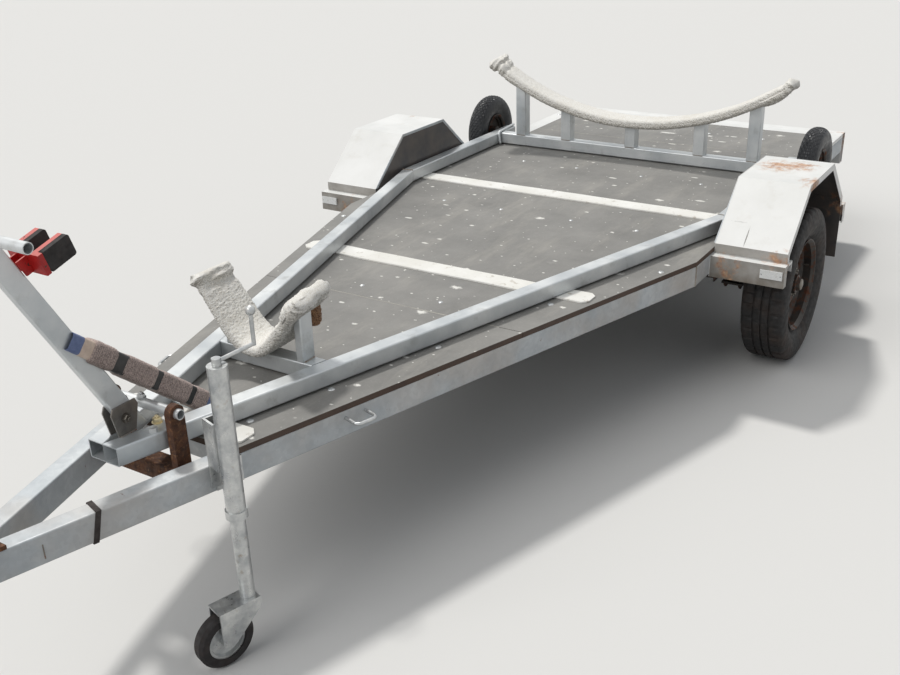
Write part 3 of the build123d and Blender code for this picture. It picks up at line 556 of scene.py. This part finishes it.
def circle(centre, side, other, radius, count, turn=0.0):
    """Points round a centre, in the plane of two unit vectors."""
    angles = [2 * math.pi * i / count + turn for i in range(count)]
    return [centre + (side * math.cos(a) + other * math.sin(a)) * radius for a in angles]


def lathe(pile, centre, direction, profile, count=24, turn=0.0):
    """Turned shape: radius and height rows along a direction, closed at both ends."""
    side, other, along = axes_of(direction)
    pile.tube([circle(Vector(centre) + along * height, side, other, radius, count, turn)
               for radius, height in profile])


def hex_bolt(pile, centre, direction, size, tall, washer=True):
    """Hexagon head with the bolt's end above it, on a washer or without."""
    rise = 0.0
    if washer:
        lathe(pile, centre, direction, [(size * 0.72, 0), (size * 0.72, size * 0.09)], 20)
        rise = size * 0.09
    base = Vector(centre) + Vector(direction).normalized() * rise
    flat = size / 2 / math.cos(math.pi / 6)
    lathe(pile, base, direction, [(flat, 0), (flat, tall * 0.85), (flat * 0.9, tall)], 6)
    end = [(size * 0.24, 0), (size * 0.24, tall * 1.35), (size * 0.18, tall * 1.5)]
    lathe(pile, base, direction, end, 14)


def round_head(pile, centre, direction, radius, tall):
    profile = [(radius, 0), (radius * 0.93, tall * 0.45), (radius * 0.65, tall * 0.85), (radius * 0.2, tall)]
    lathe(pile, centre, direction, profile, 18)


def bar(pile, points, radius, count=12):
    """Round rod through the points, turned gently at each."""
    points = [Vector(p) for p in points]
    rings = []
    side = None
    for i, point in enumerate(points):
        before, after = points[max(i - 1, 0)], points[min(i + 1, len(points) - 1)]
        along = (after - before).normalized()
        side = axes_of(along)[0] if side is None else (side - along * side.dot(along)).normalized()
        rings.append(circle(point, side, along.cross(side), radius, count))
    pile.tube(rings)


def rounded(points, radius, steps=5):
    """Polyline with its corners turned into arcs."""
    points = [Vector(p) for p in points]
    line = [points[0]]
    for before, corner, after in zip(points, points[1:], points[2:]):
        a, b = (before - corner).normalized(), (after - corner).normalized()
        cut = min(radius, (before - corner).length * 0.45, (after - corner).length * 0.45)
        start, end = corner + a * cut, corner + b * cut
        for k in range(steps + 1):
            t = k / steps
            line.append(start * (1 - t) ** 2 + corner * 2 * t * (1 - t) + end * t ** 2)
    return line + [points[-1]]


def weld(pile, start, end, radius=0.003):
    """Bead of small overlapping ripples between two points."""
    start, end = Vector(start), Vector(end)
    count = max(4, int((end - start).length / RIPPLE) * 3)
    side, other, along = axes_of(end - start)
    rings = []
    for i in range(count + 1):
        uneven = 0.12 * noise.noise((start + end) * 31 + along * i)
        swell = radius * (0.8 + 0.28 * abs(math.sin(math.pi * i / 3)) + uneven)
        swell *= 0.55 if i in (0, count) else 1
        rings.append(circle(start.lerp(end, i / count), side, other, swell, 8))
    pile.tube(rings)


def arc_through(start, middle, end, count):
    """Points on the arc of less than half a turn through three (r, x) pairs, as complex numbers."""
    a, b, c = [complex(*pair) for pair in (start, middle, end)]
    share = (c - a) / (b - a)
    centre = a + (b - a) * (abs(share) ** 2 - share) / (share.conjugate() - share)
    sweep = cmath.phase((c - centre) / (a - centre))
    points = [centre + (a - centre) * cmath.rect(1, sweep * k / count) for k in range(count + 1)]
    return [(point.real, point.imag) for point in points]


def distances(line):
    """How far along a line each of its points is."""
    far = [0.0]
    for a, b in zip(line, line[1:]):
        far.append(far[-1] + (b - a).length)
    return far


# Tyres
# what a point of the profile is on, where it isn't on a numbered rib
SHOULDER = 50
WALL = 99


def tread_row(radius, half, grooves, depth):
    """Across the tread from the middle out: x, radius and the rib it is on, -1 in a groove."""
    row = []
    edge = 0.0
    for number, (centre, wide) in enumerate(grooves):
        low, high = centre - wide / 2, centre + wide / 2
        if low > 0:
            row += [(edge, radius, number), (low, radius, number)]
        row += [(max(low, 0) + 0.0003, radius - depth, -1), (high - 0.0003, radius - depth, -1)]
        edge = high
    row += [(edge, radius, len(grooves)), (half, radius, len(grooves))]
    return row


def on_wheel(centre, across, radius, angle):
    """Point of a wheel at a place across it, a radius and an angle from its top."""
    x, y, z = centre
    return Vector((x + across, y + radius * math.sin(angle), z + radius * math.cos(angle)))


def tyre_piece(name, node, body, look, rows):
    pile = Pile()
    pile.grid(rows, closed_rows=True, closed=True)
    made = pile.piece(name, look, body, 32)
    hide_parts(node)


def tyre(name, node, body, centre, radius, rim_r, width, segments, grooves, depth, blocks):
    """Tyre with ribs and grooves round it, shoulder blocks and rings on the sidewalls."""
    half = width / 2
    tread, bead = half * 0.72, half * 0.7
    bead_r, shoulder_r = rim_r + width * 0.1, radius - width * 0.1
    crown = tread_row(radius, tread, grooves, depth)
    corner = (shoulder_r, half * 0.95)
    bend = arc_through((radius, tread), (radius - width * 0.035, half * 0.88), corner, 6)[1:]
    side = arc_through(corner, ((bead_r + shoulder_r) / 2, half), (bead_r, bead), 14)[1:]
    outer = crown + [(x, r, SHOULDER) for r, x in bend]
    outer += [(x + (0.0008 if number in (4, 5, 10) else 0.0), r, WALL) for number, (r, x) in enumerate(side)]
    outer += [(bead, rim_r, WALL)]
    profile = [(-x, r, rib) for x, r, rib in reversed(outer)] + outer
    rows = []
    for i in range(segments):
        row = []
        for x, r, rib in profile:
            phase = (i + (0 if x < 0 else blocks // 2)) % blocks
            cut = 0.0
            if rib in (len(grooves), SHOULDER) and phase < 2:
                cut = depth * (0.5 if rib == SHOULDER else 0.8)
            elif 0 <= rib < len(grooves) and (i + 2 * rib) % blocks == 0:
                cut = depth * 0.4
            row.append(on_wheel(centre, x, r - cut, 2 * math.pi * i / segments))
        rows.append(row)
    tyre_piece(name, node, body, "tyre_black", rows)


def small_tyre(name, node, body, centre, radius, rim_r, width, segments, diamonds):
    """Round-shouldered tyre with a fine diamond tread."""
    half = width / 2
    bead, bead_r = half * 0.7, rim_r + width * 0.1
    corner = (radius - width * 0.22, half * 0.9)
    crown = arc_through((radius, 0), (radius - width * 0.045, half * 0.5), corner, 16)
    wall = arc_through(crown[-1], ((bead_r + crown[-1][0]) / 2, half), (bead_r, bead), 12)[1:]
    outer = crown + wall + [(rim_r, bead)]
    profile = [(r, -x) for r, x in reversed(outer[1:])] + outer
    rows = []
    for i in range(segments):
        turn = i / segments
        row = []
        for r, x in profile:
            cut = 0.0
            if abs(x) < half * 0.84 and r > radius - width * 0.2:
                lines = (x / 0.017 + turn * diamonds, x / 0.017 - turn * diamonds)
                cut = 0.0030 if min(abs(v - round(v)) for v in lines) < 0.17 else 0.0
            row.append(on_wheel(centre, x, r - cut, 2 * math.pi * turn))
        rows.append(row)
    tyre_piece(name, node, body, "tyre_clean", rows)


def tyres():
    grooves = ((0.0, 0.007), (0.029, 0.008))
    x, y, z = CRADLE_AXLE
    for side, word in SIDES:
        tyre(f"road_tyre_tread_{word}", f"road_tyre_{word}", f"wheel_{word}",
             (side * TRACK_X, AXLE_Y, WHEEL_R), WHEEL_R, 0.1653, 0.165, 288, grooves, 0.006, 8)
        small_tyre(f"cradle_tyre_tread_{word}", f"cradle_tyre_{word}", f"cradle_wheel_{word}",
                   (side * x, y, z), CRADLE_WHEEL_R, 0.0763, 0.085, 312, 39)


# Carpets and straps
TUFT = 0.0030  # height of a tuft
RUFFLE = 0.009  # how far the loose ends wave


def tufts(point, normal, size, fine):
    """Lift of a tuft of carpet at a point."""
    lump = noise.noise(point * 95) * 0.25 + noise.noise(point * 240 + Vector((3, 1, 7))) * 0.75
    return point + normal * (size * lump + fine * noise.noise(point * 520))


def pad_section(width, thick, corner):
    """Closed outline of a padded board, round at its edges: place across and above its middle."""
    x0, z0 = width / 2 - corner, thick / 2 - corner
    corners = ((x0, z0), (-x0, z0), (-x0, -z0), (x0, -z0))
    ring = []
    for quarter, (x, z) in enumerate(corners):
        angles = [math.pi / 2 * (quarter + k / 6) for k in range(7)]
        ring += [(x + corner * math.cos(a), z + corner * math.sin(a)) for a in angles]
        x1, z1 = ring[-1]
        x2, z2 = corners[(quarter + 1) % 4]
        steps = 34 if quarter in (0, 2) else 4
        ring += [(x1 + (x2 - x) * k / steps, z1 + (z2 - z) * k / steps) for k in range(1, steps)]
    return ring


def carpet_sleeve(name, nodes, line, normals, size, corner, lumps, twist=0.0, slant=0.0):
    """Carpet drawn round a board: a round-edged section carried along a line, closed at its ends.
    Each lump has a place along it, a reach, a height and the face it is on: 1 upper, -1 under, 0 both."""
    width, thick = size
    section = pad_section(width, thick, corner)
    rows = []
    far = distances(line)
    for here, point, up in zip(far, line, normals):
        ends = min(here, far[-1] - here)
        turn = thick * 0.45
        pinch = 1.0 if ends >= turn else math.sqrt(max(0.0, 1 - (1 - ends / turn) ** 2)) * 0.8 + 0.2
        share = 2 * here / far[-1] - 1
        loose = RUFFLE * math.exp(-(ends / 0.055) ** 2)
        row = []
        for x, h in section:
            edge = 2 * x / width
            crown = 0.0012 * (1 - edge ** 2) if h > 0 else 0.0
            lean = twist * share * abs(share) * edge
            base = point + ACROSS * x + up * ((h + crown) * pinch) + up * lean
            lift = (abs(2 * h / thick) ** 2 + 0.05) * (1 if h > 0 else -1)
            out = (ACROSS * max(-1, min(1, edge)) ** 5 + up * lift).normalized()
            wave = 0.0016 * noise.noise(Vector((here * 9, x * 7, h * 20)) + Vector((5, 2, 1)))
            place = here + slant * (x + 0.075 * noise.noise(Vector((x * 30, h * 40, 3))))
            for at, wide, tall, face in lumps:
                if face * h >= 0:
                    wave += tall * max(0.0, 1 - ((place - at) / wide) ** 2)
            wave += loose * noise.noise(Vector((here * 60, x * 26, h * 30)))
            row.append(tufts(base, out, TUFT * pinch, TUFT * 0.35) + out * wave)
        rows.append(row)
    pile = Pile()
    pile.grid(rows, closed=True)
    for ring in (rows[0], rows[-1]):
        middle = sum(ring, Vector()) / len(ring)
        inner = [p.lerp(middle, 0.5) for p in ring]
        pile.grid([ring, inner], closed=True)
        pile.cap(inner)
    made = pile.fitting(name, "carpet_cream", smooth=80)
    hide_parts(*nodes)


def bunk_carpet():
    """Sleeve on the curved board, a little longer than it, gathered slanting at the left end."""
    middle = BUNK_R + BUNK_PAD
    half = math.asin(BUNK_HALF / BUNK_R) + BUNK_OVERHANG
    count = 430
    angles = [-half + 2 * half * i / count for i in range(count + 1)]
    normals = [Vector((-math.sin(a), 0, math.cos(a))) for a in angles]
    line = [Vector((0, BUNK_Y, BUNK_MID_Z)) - n * middle for n in normals]
    end = 2 * half * middle
    lumps = (
        (0.016, 0.024, 0.010, 0), (0.046, 0.042, 0.012, 1), (0.044, 0.010, -0.007, 0),
        (0.086, 0.012, -0.003, 0), (0.10, 0.07, 0.004, -1), (end - 0.016, 0.020, 0.006, 1),
        (end - 0.050, 0.012, -0.004, 0), (end - 0.095, 0.070, 0.012, -1))
    carpet_sleeve("bunk_carpet_pile", ("bunk_carpet",), line, normals, (0.110, 0.0415), 0.016, lumps,
                  slant=0.16)


def vee_line(count):
    """Points and normals of the bow board's middle, evenly spaced."""
    right = [(0.030, 0), (0.076, 0.038), (0.184, 0.186)]
    corners = [Vector((-x, 0, z)) for x, z in reversed(right)] + [Vector((x, 0, z)) for x, z in right]
    line = rounded(corners, 0.030, 8)
    far = distances(line)
    points = []
    k = 0
    for i in range(count + 1):
        want = far[-1] * i / count
        while k < len(line) - 2 and far[k + 1] < want:
            k += 1
        t = (want - far[k]) / max(far[k + 1] - far[k], 1e-9)
        points.append(line[k].lerp(line[k + 1], t))
    normals = []
    for i in range(count + 1):
        run = points[min(count, i + 5)] - points[max(0, i - 5)]
        normals.append(Vector((-run.z, 0, run.x)).normalized())
    place = Vector((VEE_X, VEE_Y, TUBE_TOP + 0.0163))
    return [place + p for p in points], normals


def bow_carpet():
    """Sleeve on the vee board, drooping at its near end."""
    line, normals = vee_line(300)
    end = distances(line)[-1]
    lumps = ((0.016, 0.022, 0.009, 0), (0.050, 0.014, -0.002, 1), (end - 0.052, 0.040, 0.010, 1),
             (end - 0.030, 0.040, 0.013, -1), (end - 0.105, 0.018, -0.003, 0))
    carpet_sleeve("bow_carpet_pile", ("bow_carpet", "bow_board"), line, normals, (0.143, 0.0315), 0.0145,
                  lumps, twist=0.010)


def bow_flap():
    """Brown flap that hangs under the near end of the vee board."""
    steps = 24
    rows = []
    for i in range(steps + 1):
        down = i / steps
        row = []
        for k in range(steps + 1):
            across = k / steps * 2 - 1
            x = 0.128 + 0.010 * down + 0.006 * math.sin(across * 3)
            y = VEE_Y + 0.040 + 0.036 * across * (1 - 0.25 * down)
            z = 0.752 - 0.082 * down * (1 - 0.25 * across ** 2)
            row.append(tufts(Vector((x, y, z)), Vector((1, 0, 0)), 0.003, 0.003))
        rows.append(row)
    under = [[p - Vector((0.004, 0, 0)) for p in row] for row in rows]
    pile = Pile()
    pile.grid(rows)
    pile.grid(under)
    rim = [(a[0], b[0]) for a, b in zip(rows, under)] + list(zip(rows[-1], under[-1]))[1:]
    rim += [(a[-1], b[-1]) for a, b in zip(rows, under)][::-1][1:] + list(zip(rows[0], under[0]))[::-1][1:-1]
    pile.grid([[a for a, _ in rim], [b for _, b in rim]], closed=True)
    pile.piece("bow_carpet_flap", "carpet_brown", smooth=70)


def strut_ring(far, half, corner):
    """Rounded square round the strut at a distance from its top: points and outward directions."""
    run = (STRUT_LOW - STRUT_TOP).normalized()
    side, up = Vector((1, 0, 0)), Vector((0, -run.z, run.y))
    centre = STRUT_TOP + run * far
    ring = []
    for quarter in range(4):
        x = (half - corner) * (1 if quarter in (0, 3) else -1)
        y = (half - corner) * (1 if quarter in (0, 1) else -1)
        for k in range(8):
            a = math.pi / 2 * quarter + math.pi / 2 * k / 7
            out = side * math.cos(a) + up * math.sin(a)
            ring.append((centre + side * x + up * y + out * corner, out))
    return ring


def strut_core(start, end, half):
    """Plain rings just over the strut, at two distances."""
    return [[p for p, _ in strut_ring(far, half, 0.004)] for far in (start, end)]


# distance from the strut's top, width, half size and look of each band of tape
STRUT_BANDS = (
    (-0.020, 0.036, 0.0212, "tape_blue"), (0.013, 0.034, 0.0218, "tape_tan"),
    (0.118, 0.042, 0.0243, "tape_black"), (0.251, 0.019, 0.0243, "tape_black"),
    (0.380, 0.018, 0.0243, "tape_black"), (0.449, 0.016, 0.0243, "tape_blue"))
SLEEVE_BANDS = STRUT_BANDS[2:]
SLEEVE_ENDS = (0.028, 0.452)


def strut_sleeve():
    """Ribbed carpet round the strut, pinched in where tape goes round it."""
    start, end = SLEEVE_ENDS
    rows = []
    steps = int((end - start) / 0.0014)
    for i in range(steps + 1):
        far = start + (end - start) * i / steps
        tight = min([1.0] + [abs(far - at) / (wide / 2 + 0.006) for at, wide, *_ in SLEEVE_BANDS])
        ends = min(1.0, min(far - start, end - far) / 0.006)
        lift = 0.0050 * min(1.0, tight ** 1.5) * ends ** 0.5 + 0.0221
        rib = 0.0008 * math.sin(2 * math.pi * far / 0.0058) if tight > 0.6 else 0.0
        rows.append([tufts(p, out, 0.0007, 0.0006) + out * rib for p, out in strut_ring(far, lift, 0.011)])
    pile = Pile()
    pile.sleeve(rows, strut_core(end, start, 0.0203))
    made = pile.fitting("strut_carpet_pile", "carpet_grey", smooth=60)
    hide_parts("strut_carpet")


def strut_tapes():
    for number, (at, wide, half, look) in enumerate(STRUT_BANDS):
        start, end = at - wide / 2, at + wide / 2
        rings = [[p for p, _ in strut_ring(far, size, 0.008)] for far, size in (
            (start, half - 0.001), (start + 0.0006, half), (at, half + 0.0003), (end - 0.0006, half),
            (end, half - 0.001))]
        band = Pile()
        band.sleeve(rings, strut_core(end, start, 0.0202))
        band.piece(f"strut_tape_{number}", look, smooth=35)


def spread(half):
    """Places 6 mm apart from one side to the other."""
    count = int(2 * half / 0.006)
    return [-half + 2 * half * i / count for i in range(count + 1)]


def deck_straps():
    """Soft white straps across the deck, wavy along their edges and flat on it."""
    lip = ((1.0, 0.0), (1.0, 0.0040), (0.975, 0.0054))
    pile = Pile()
    # place along the trailer, half length and how far the corners are cut
    for y, half, clip in ((-1.405, 0.214, 0.018), (-0.208, 0.572, 0.018), (0.752, 0.700, 0.004)):
        rows = []
        for x in spread(half):
            cut = max(0.0, clip - (half - abs(x)))
            ring = []
            for sign in (-1, 1):
                wave = 0.0035 * noise.noise(Vector((x * 7, y * 5 + sign * 3, 0.5))) - 0.0012
                edge = sign * (0.042 + wave - cut)
                ring += [Vector((x, y + edge * share, DECK_Z + 0.0003 + lift))
                         for share, lift in lip[::-sign]]
                if sign < 0:
                    for k in range(1, 12):
                        v = -1 + k / 6
                        ripple = 0.0006 * noise.noise(Vector((x * 22, v * 2 + y, 1.5)))
                        ring.append(Vector((x, y + (0.040 - cut) * v, DECK_Z + 0.0054 + min(0.0, ripple))))
            rows.append(ring)
        pile.tube(rows)
    made = pile.fitting("deck_straps_wavy", "strap_white", smooth=50)
    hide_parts("deck_straps")


def seam_sealant():
    """Uneven bead in each seam between the deck's sheets."""
    bead = ((-1, -0.001), (-0.8, 0.0004), (0, 0.0008), (0.8, 0.0004), (1, -0.001))
    pile = Pile()
    for y in SEAMS_Y:
        rows = []
        for x in spread(edge_x(y) - 0.082):
            wide = 0.0014 + 0.0010 * noise.noise(Vector((x * 18, y, 0)))
            mid = y + 0.0006 * noise.noise(Vector((x * 9, y, 4)))
            rows.append([Vector((x, mid + wide * share, DECK_Z + lift)) for share, lift in bead])
        pile.tube(rows)
    pile.piece("seam_sealant", "sealant")


# Fastenings
def deck_bolts():
    """Round heads that hold the deck down, over the frame's sides and over the cross members."""
    pile = Pile()
    random.seed(4)
    for y in (-1.334, -1.097, -0.736, -0.30, 0.12, 1.60, 2.10):
        for side in (1, -1):
            inset = 0.100 if y < 0 else 0.028
            x = edge_x(y) - inset + random.uniform(-0.004, 0.004)
            round_head(pile, (side * x, y, DECK_Z), UP, 0.0105, 0.0035)
    for y in (-0.45, 0.48, 1.166, 2.03):
        for x in (-0.42, -0.15, 0.16, 0.43):
            if edge_x(y) - 0.1 > abs(x):
                round_head(pile, (x, y, DECK_Z), UP, 0.0085, 0.003)
    pile.fitting("deck_bolt_heads")


def wheel_nuts():
    """Five nuts, the hub's cap and the valve of each road wheel."""
    cap = [(0.0215, -0.0005), (0.0225, 0.0), (0.0205, 0.003), (0.012, 0.0055), (0.004, 0.006)]
    for side, word in SIDES:
        pile = Pile()
        out = (side, 0, 0)
        hub = (side * TRACK_X, AXLE_Y, WHEEL_R)
        for k in range(5):
            centre = on_wheel(hub, side * 0.0218, 0.050, 2 * math.pi * k / 5 + 0.3)
            hex_bolt(pile, centre, out, 0.019, 0.014, False)
        lathe(pile, on_wheel(hub, side * 0.062, 0, 0), out, cap, 24)
        valve = Vector(hub) + Vector((side * 0.030, 0.128, 0.035))
        bar(pile, [valve, valve + Vector((side * 0.022, 0.002, 0.001))], 0.003, 10)
        pile.piece(f"wheel_nuts_{word}", "zinc_dull", f"wheel_{word}")


def gusset_bolts():
    pile = Pile()
    for side in (1, -1):
        hex_bolt(pile, (side * 0.0170, -1.597, 0.628), (side, 0, 0), 0.019, 0.008)
    pile.piece("mast_foot_bolts", "zinc_dull")


def clamp_bolts():
    """Bolt that holds the cradle down at the clamp, and a bolt and a square nut left beside it."""
    pile = Pile()
    hex_bolt(pile, (0.0, -1.530, 0.647), UP, 0.017, 0.009)
    pile.fitting("clamp_bolt")
    loose = Pile()
    hex_bolt(loose, (0.036, -1.524, TUBE_TOP), UP, 0.019, 0.012)
    loose.piece("arm_bolt_yellow", "zinc_yellow")
    nut = Pile()
    lathe(nut, (0.062, -1.560, TUBE_TOP), UP, [(0.0115, 0), (0.0115, 0.009), (0.0095, 0.010)], 4, 0.6)
    nut.fitting("arm_nut_square")


def spring_bolts():
    """Nuts of the U-bolts under each axle plate, and the end of the spring's centre bolt."""
    pile = Pile()
    for side in (1, -1):
        middle = side * SPRING_X
        for y in (AXLE_Y - 0.032, AXLE_Y + 0.032):
            for x in (middle - 0.029, middle + 0.029):
                hex_bolt(pile, (x, y, 0.2640), (0, 0, -1), 0.016, 0.009)
        lathe(pile, (middle, AXLE_Y, 0.3460), UP, [(0.007, 0.0), (0.007, 0.006), (0.004, 0.008)], 14)
    pile.fitting("spring_clamp_nuts", "black_steel")


def welds():
    """Beads where tubes meet, on the sides that show."""
    pile = Pile()
    top = TUBE_TOP + 0.0004
    for x in (-0.565, -0.325, 0.0, 0.325, 0.565):
        for y in (BUNK_Y - 0.0252, BUNK_Y + 0.0252):
            weld(pile, (x - 0.022, y, top), (x + 0.022, y, top), 0.0024)
    for x in (-0.1275, 0.1275):
        for side in (-0.0133, 0.0133):
            weld(pile, (x + side, VEE_Y - 0.021, top), (x + side, VEE_Y + 0.021, top), 0.0026)
    for side in (1, -1):
        weld(pile, (side * 0.0180, -1.622, top), (side * 0.0180, -1.574, top), 0.0028)
        weld(pile, (side * 0.681, 0.640, top), (side * 0.731, 0.632, top), 0.0026)
    pile.piece("cradle_welds", "weld_grey")
    frame_welds = Pile()
    joint_y = -1.917
    for side in (1, -1):
        bend_x, joint_x = side * HALF_WIDTH, side * (edge_x(joint_y) + 0.0004)
        weld(frame_welds, (bend_x, BEND_Y, 0.512), (bend_x, BEND_Y, 0.440), 0.0026)
        weld(frame_welds, (joint_x, joint_y, 0.489), (joint_x, joint_y, 0.451), 0.0016)
        for y in (0.480, 1.166, 1.765):
            weld(frame_welds, (side * 0.6905, y - 0.024, 0.4378), (side * 0.6905, y + 0.024, 0.4378))
    frame_welds.piece("frame_welds", "weld_grey")


def hook_rod():
    """Bent rod left on a corner of the cradle, over its cross tube and down behind it."""
    pile = Pile()
    path = rounded([(-0.694, 1.560, 0.5927), (-0.678, 1.383, 0.5927), (-0.671, 1.383, 0.538)], 0.016, 6)
    bar(pile, path, 0.0062, 14)
    pile.fitting("cradle_hook_rod", "aluminium")


def guard_flanges():
    """Narrow fold along the top of each guard's inner panel."""
    flat, half, top, low, wide = 0.163, 0.380, 0.732, 0.546, 0.011
    slope = math.atan2(top - low, half - flat)
    outer = [(half, low), (flat, top)]
    inner = [(half - wide / math.sin(slope), low), (flat - wide * math.tan(slope / 2), top - wide)]
    for side, word in SIDES:
        rows = []
        for sign, order in ((-1, (0, 1)), (1, (1, 0))):
            for (y0, z0), (y1, z1) in [(outer[k], inner[k]) for k in order]:
                fold = ((0.7432, y0, z0), (0.7400, y0, z0), (0.7393, (y0 + y1) / 2, (z0 + z1) / 2),
                        (0.7400, y1, z1), (0.7432, y1, z1))
                rows.append([Vector((side * x, AXLE_Y + sign * y, z)) for x, y, z in fold])
        pile = Pile()
        pile.tube(rows)
        pile.fitting(f"guard_flange_{word}", "galvanised", smooth=25)


def reflector_screws():
    pile = Pile()
    for side in (1, -1):
        for x in (0.929, 0.994):
            round_head(pile, (side * x, 0.3957, 0.477), (0, -1, 0), 0.003, 0.0015)
    pile.fitting("reflector_screws")


def drawbar_axes():
    """Unit vectors along the right arm of the drawbar and out of its side."""
    return Vector((math.sin(TAPER), math.cos(TAPER), 0)), Vector((math.cos(TAPER), -math.sin(TAPER), 0))


def webbing():
    """Old band of webbing tied round the drawbar, a little skew."""
    y, z, skew = -1.800, 0.4755, 0.009
    along, out = drawbar_axes()
    wide, tall = ARM
    middle = Vector((edge_x(y), y, z)) - out * wide

    def ring(shift, grow_x, grow_z):
        return [middle + along * (shift + skew * v) + out * (u * (wide + grow_x))
                + Vector(UP) * (v * (tall + grow_z)) for u, v in ((1, 1), (-1, 1), (-1, -1), (1, -1))]

    pile = Pile()
    rings = [ring(shift, grow, grow) for shift, grow in
             ((-0.007, 0.0004), (-0.0066, 0.0016), (0.0066, 0.0016), (0.007, 0.0004))]
    pile.sleeve(rings, [ring(shift, 0.0002, 0.0001875) for shift in (0.007, -0.007)])
    pile.piece("drawbar_webbing", "webbing_dark", smooth=25)


def jockey_details():
    """Pivot bolt of the jockey wheel and the two pins of its mounting plate."""
    back, out = drawbar_axes()
    y, z = PIVOT
    pivot = Vector((edge_x(y), y, z))
    pile = Pile()
    hex_bolt(pile, pivot + out * 0.0201, out, 0.022, 0.010)
    pile.fitting("jockey_pivot_bolt", body="jockey_frame")
    fixed = Pile()
    for behind, above in ((0.021, 0.025), (0.024, 0.001)):
        round_head(fixed, pivot + out * 0.006 + back * behind + Vector((0, 0, above)), out, 0.007, 0.004)
    fixed.fitting("jockey_mount_pins")


# Stage
def seen_rays(tree):
    """1 on the rays that the camera sends, also after gloss and glass."""
    path = tree.nodes.new("ShaderNodeLightPath").outputs
    seen = path["Is Camera Ray"]
    for name in ("Is Glossy Ray", "Is Transmission Ray"):
        seen = node(tree, "Math", {0: seen, 1: path[name]}, operation="MAXIMUM")
    return seen


# direction to each lamp, strength, width in degrees and colour
LAMPS = (((-0.373, 0.266, 0.889), 1.7, 6, (1.0, 0.98, 0.94)),
         ((-0.28, -0.70, 0.66), 1.1, 40, (1.0, 0.985, 0.96)))


def stage():
    """Pale floor, a world that is dimmer than it looks, and two lamps."""
    look = Look("floor", rough=0.9, **{"Specular IOR Level": 0.1})
    look.colour = look.mix(seen_rays(look.tree), (0.30, 0.295, 0.29, 1.0), (0.76, 0.755, 0.74, 1.0))
    reach = 60
    pile = Pile()
    pile.cap([(-reach, -reach, 0), (reach, -reach, 0), (reach, reach, 0), (-reach, reach, 0)])
    look.done()
    floor = pile.build("floor", "floor")
    world = bpy.data.worlds.new("studio")
    bpy.context.scene.world = world
    world.use_nodes = True
    tree = world.node_tree
    back = tree.nodes["Background"]
    feed(tree, back, {0: (0.93, 0.96, 1.0, 1.0), 1: 0.36})
    pale = node(tree, "Background", {0: (0.86, 0.87, 0.88, 1.0)})
    mix = node(tree, "MixShader", {0: seen_rays(tree), 1: back.outputs[0], 2: pale})
    feed(tree, tree.nodes["World Output"], {0: mix})
    for toward, energy, wide, colour in LAMPS:
        data = bpy.data.lights.new("lamp", "SUN")
        data.energy, data.angle, data.color = energy, math.radians(wide), colour
        lamp = placed("lamp", data)
        lamp.rotation_mode = "QUATERNION"
        lamp.rotation_quaternion = Vector(toward).to_track_quat("Z", "Y")
    bpy.context.scene.view_settings.view_transform = "Standard"


def camera():
    """The photograph's place and angle, as fitted to the frame's own corners."""
    data = bpy.data.cameras.new("camera")
    data.sensor_width = SENSOR
    data.lens = FOCAL_PIXELS / PHOTO_PIXELS * SENSOR
    place = Matrix.Translation((1.847, -2.998, 1.799))
    # yaw, then 24.50 degrees down from level, then roll
    for degrees, axis in ((33.02, "Z"), (90 - 24.50, "X"), (-1.84, "Z")):
        place = place @ Matrix.Rotation(math.radians(degrees), 4, axis)
    eye = placed("camera", data)
    eye.matrix_world = place
    bpy.context.scene.camera = eye


camera()
stage()
dress_nodes()
tyres()
bunk_carpet()
bow_carpet()
bow_flap()
strut_sleeve()
strut_tapes()
deck_straps()
seam_sealant()
deck_bolts()
wheel_nuts()
gusset_bolts()
clamp_bolts()
spring_bolts()
welds()
hook_rod()
guard_flanges()
reflector_screws()
webbing()
jockey_details()
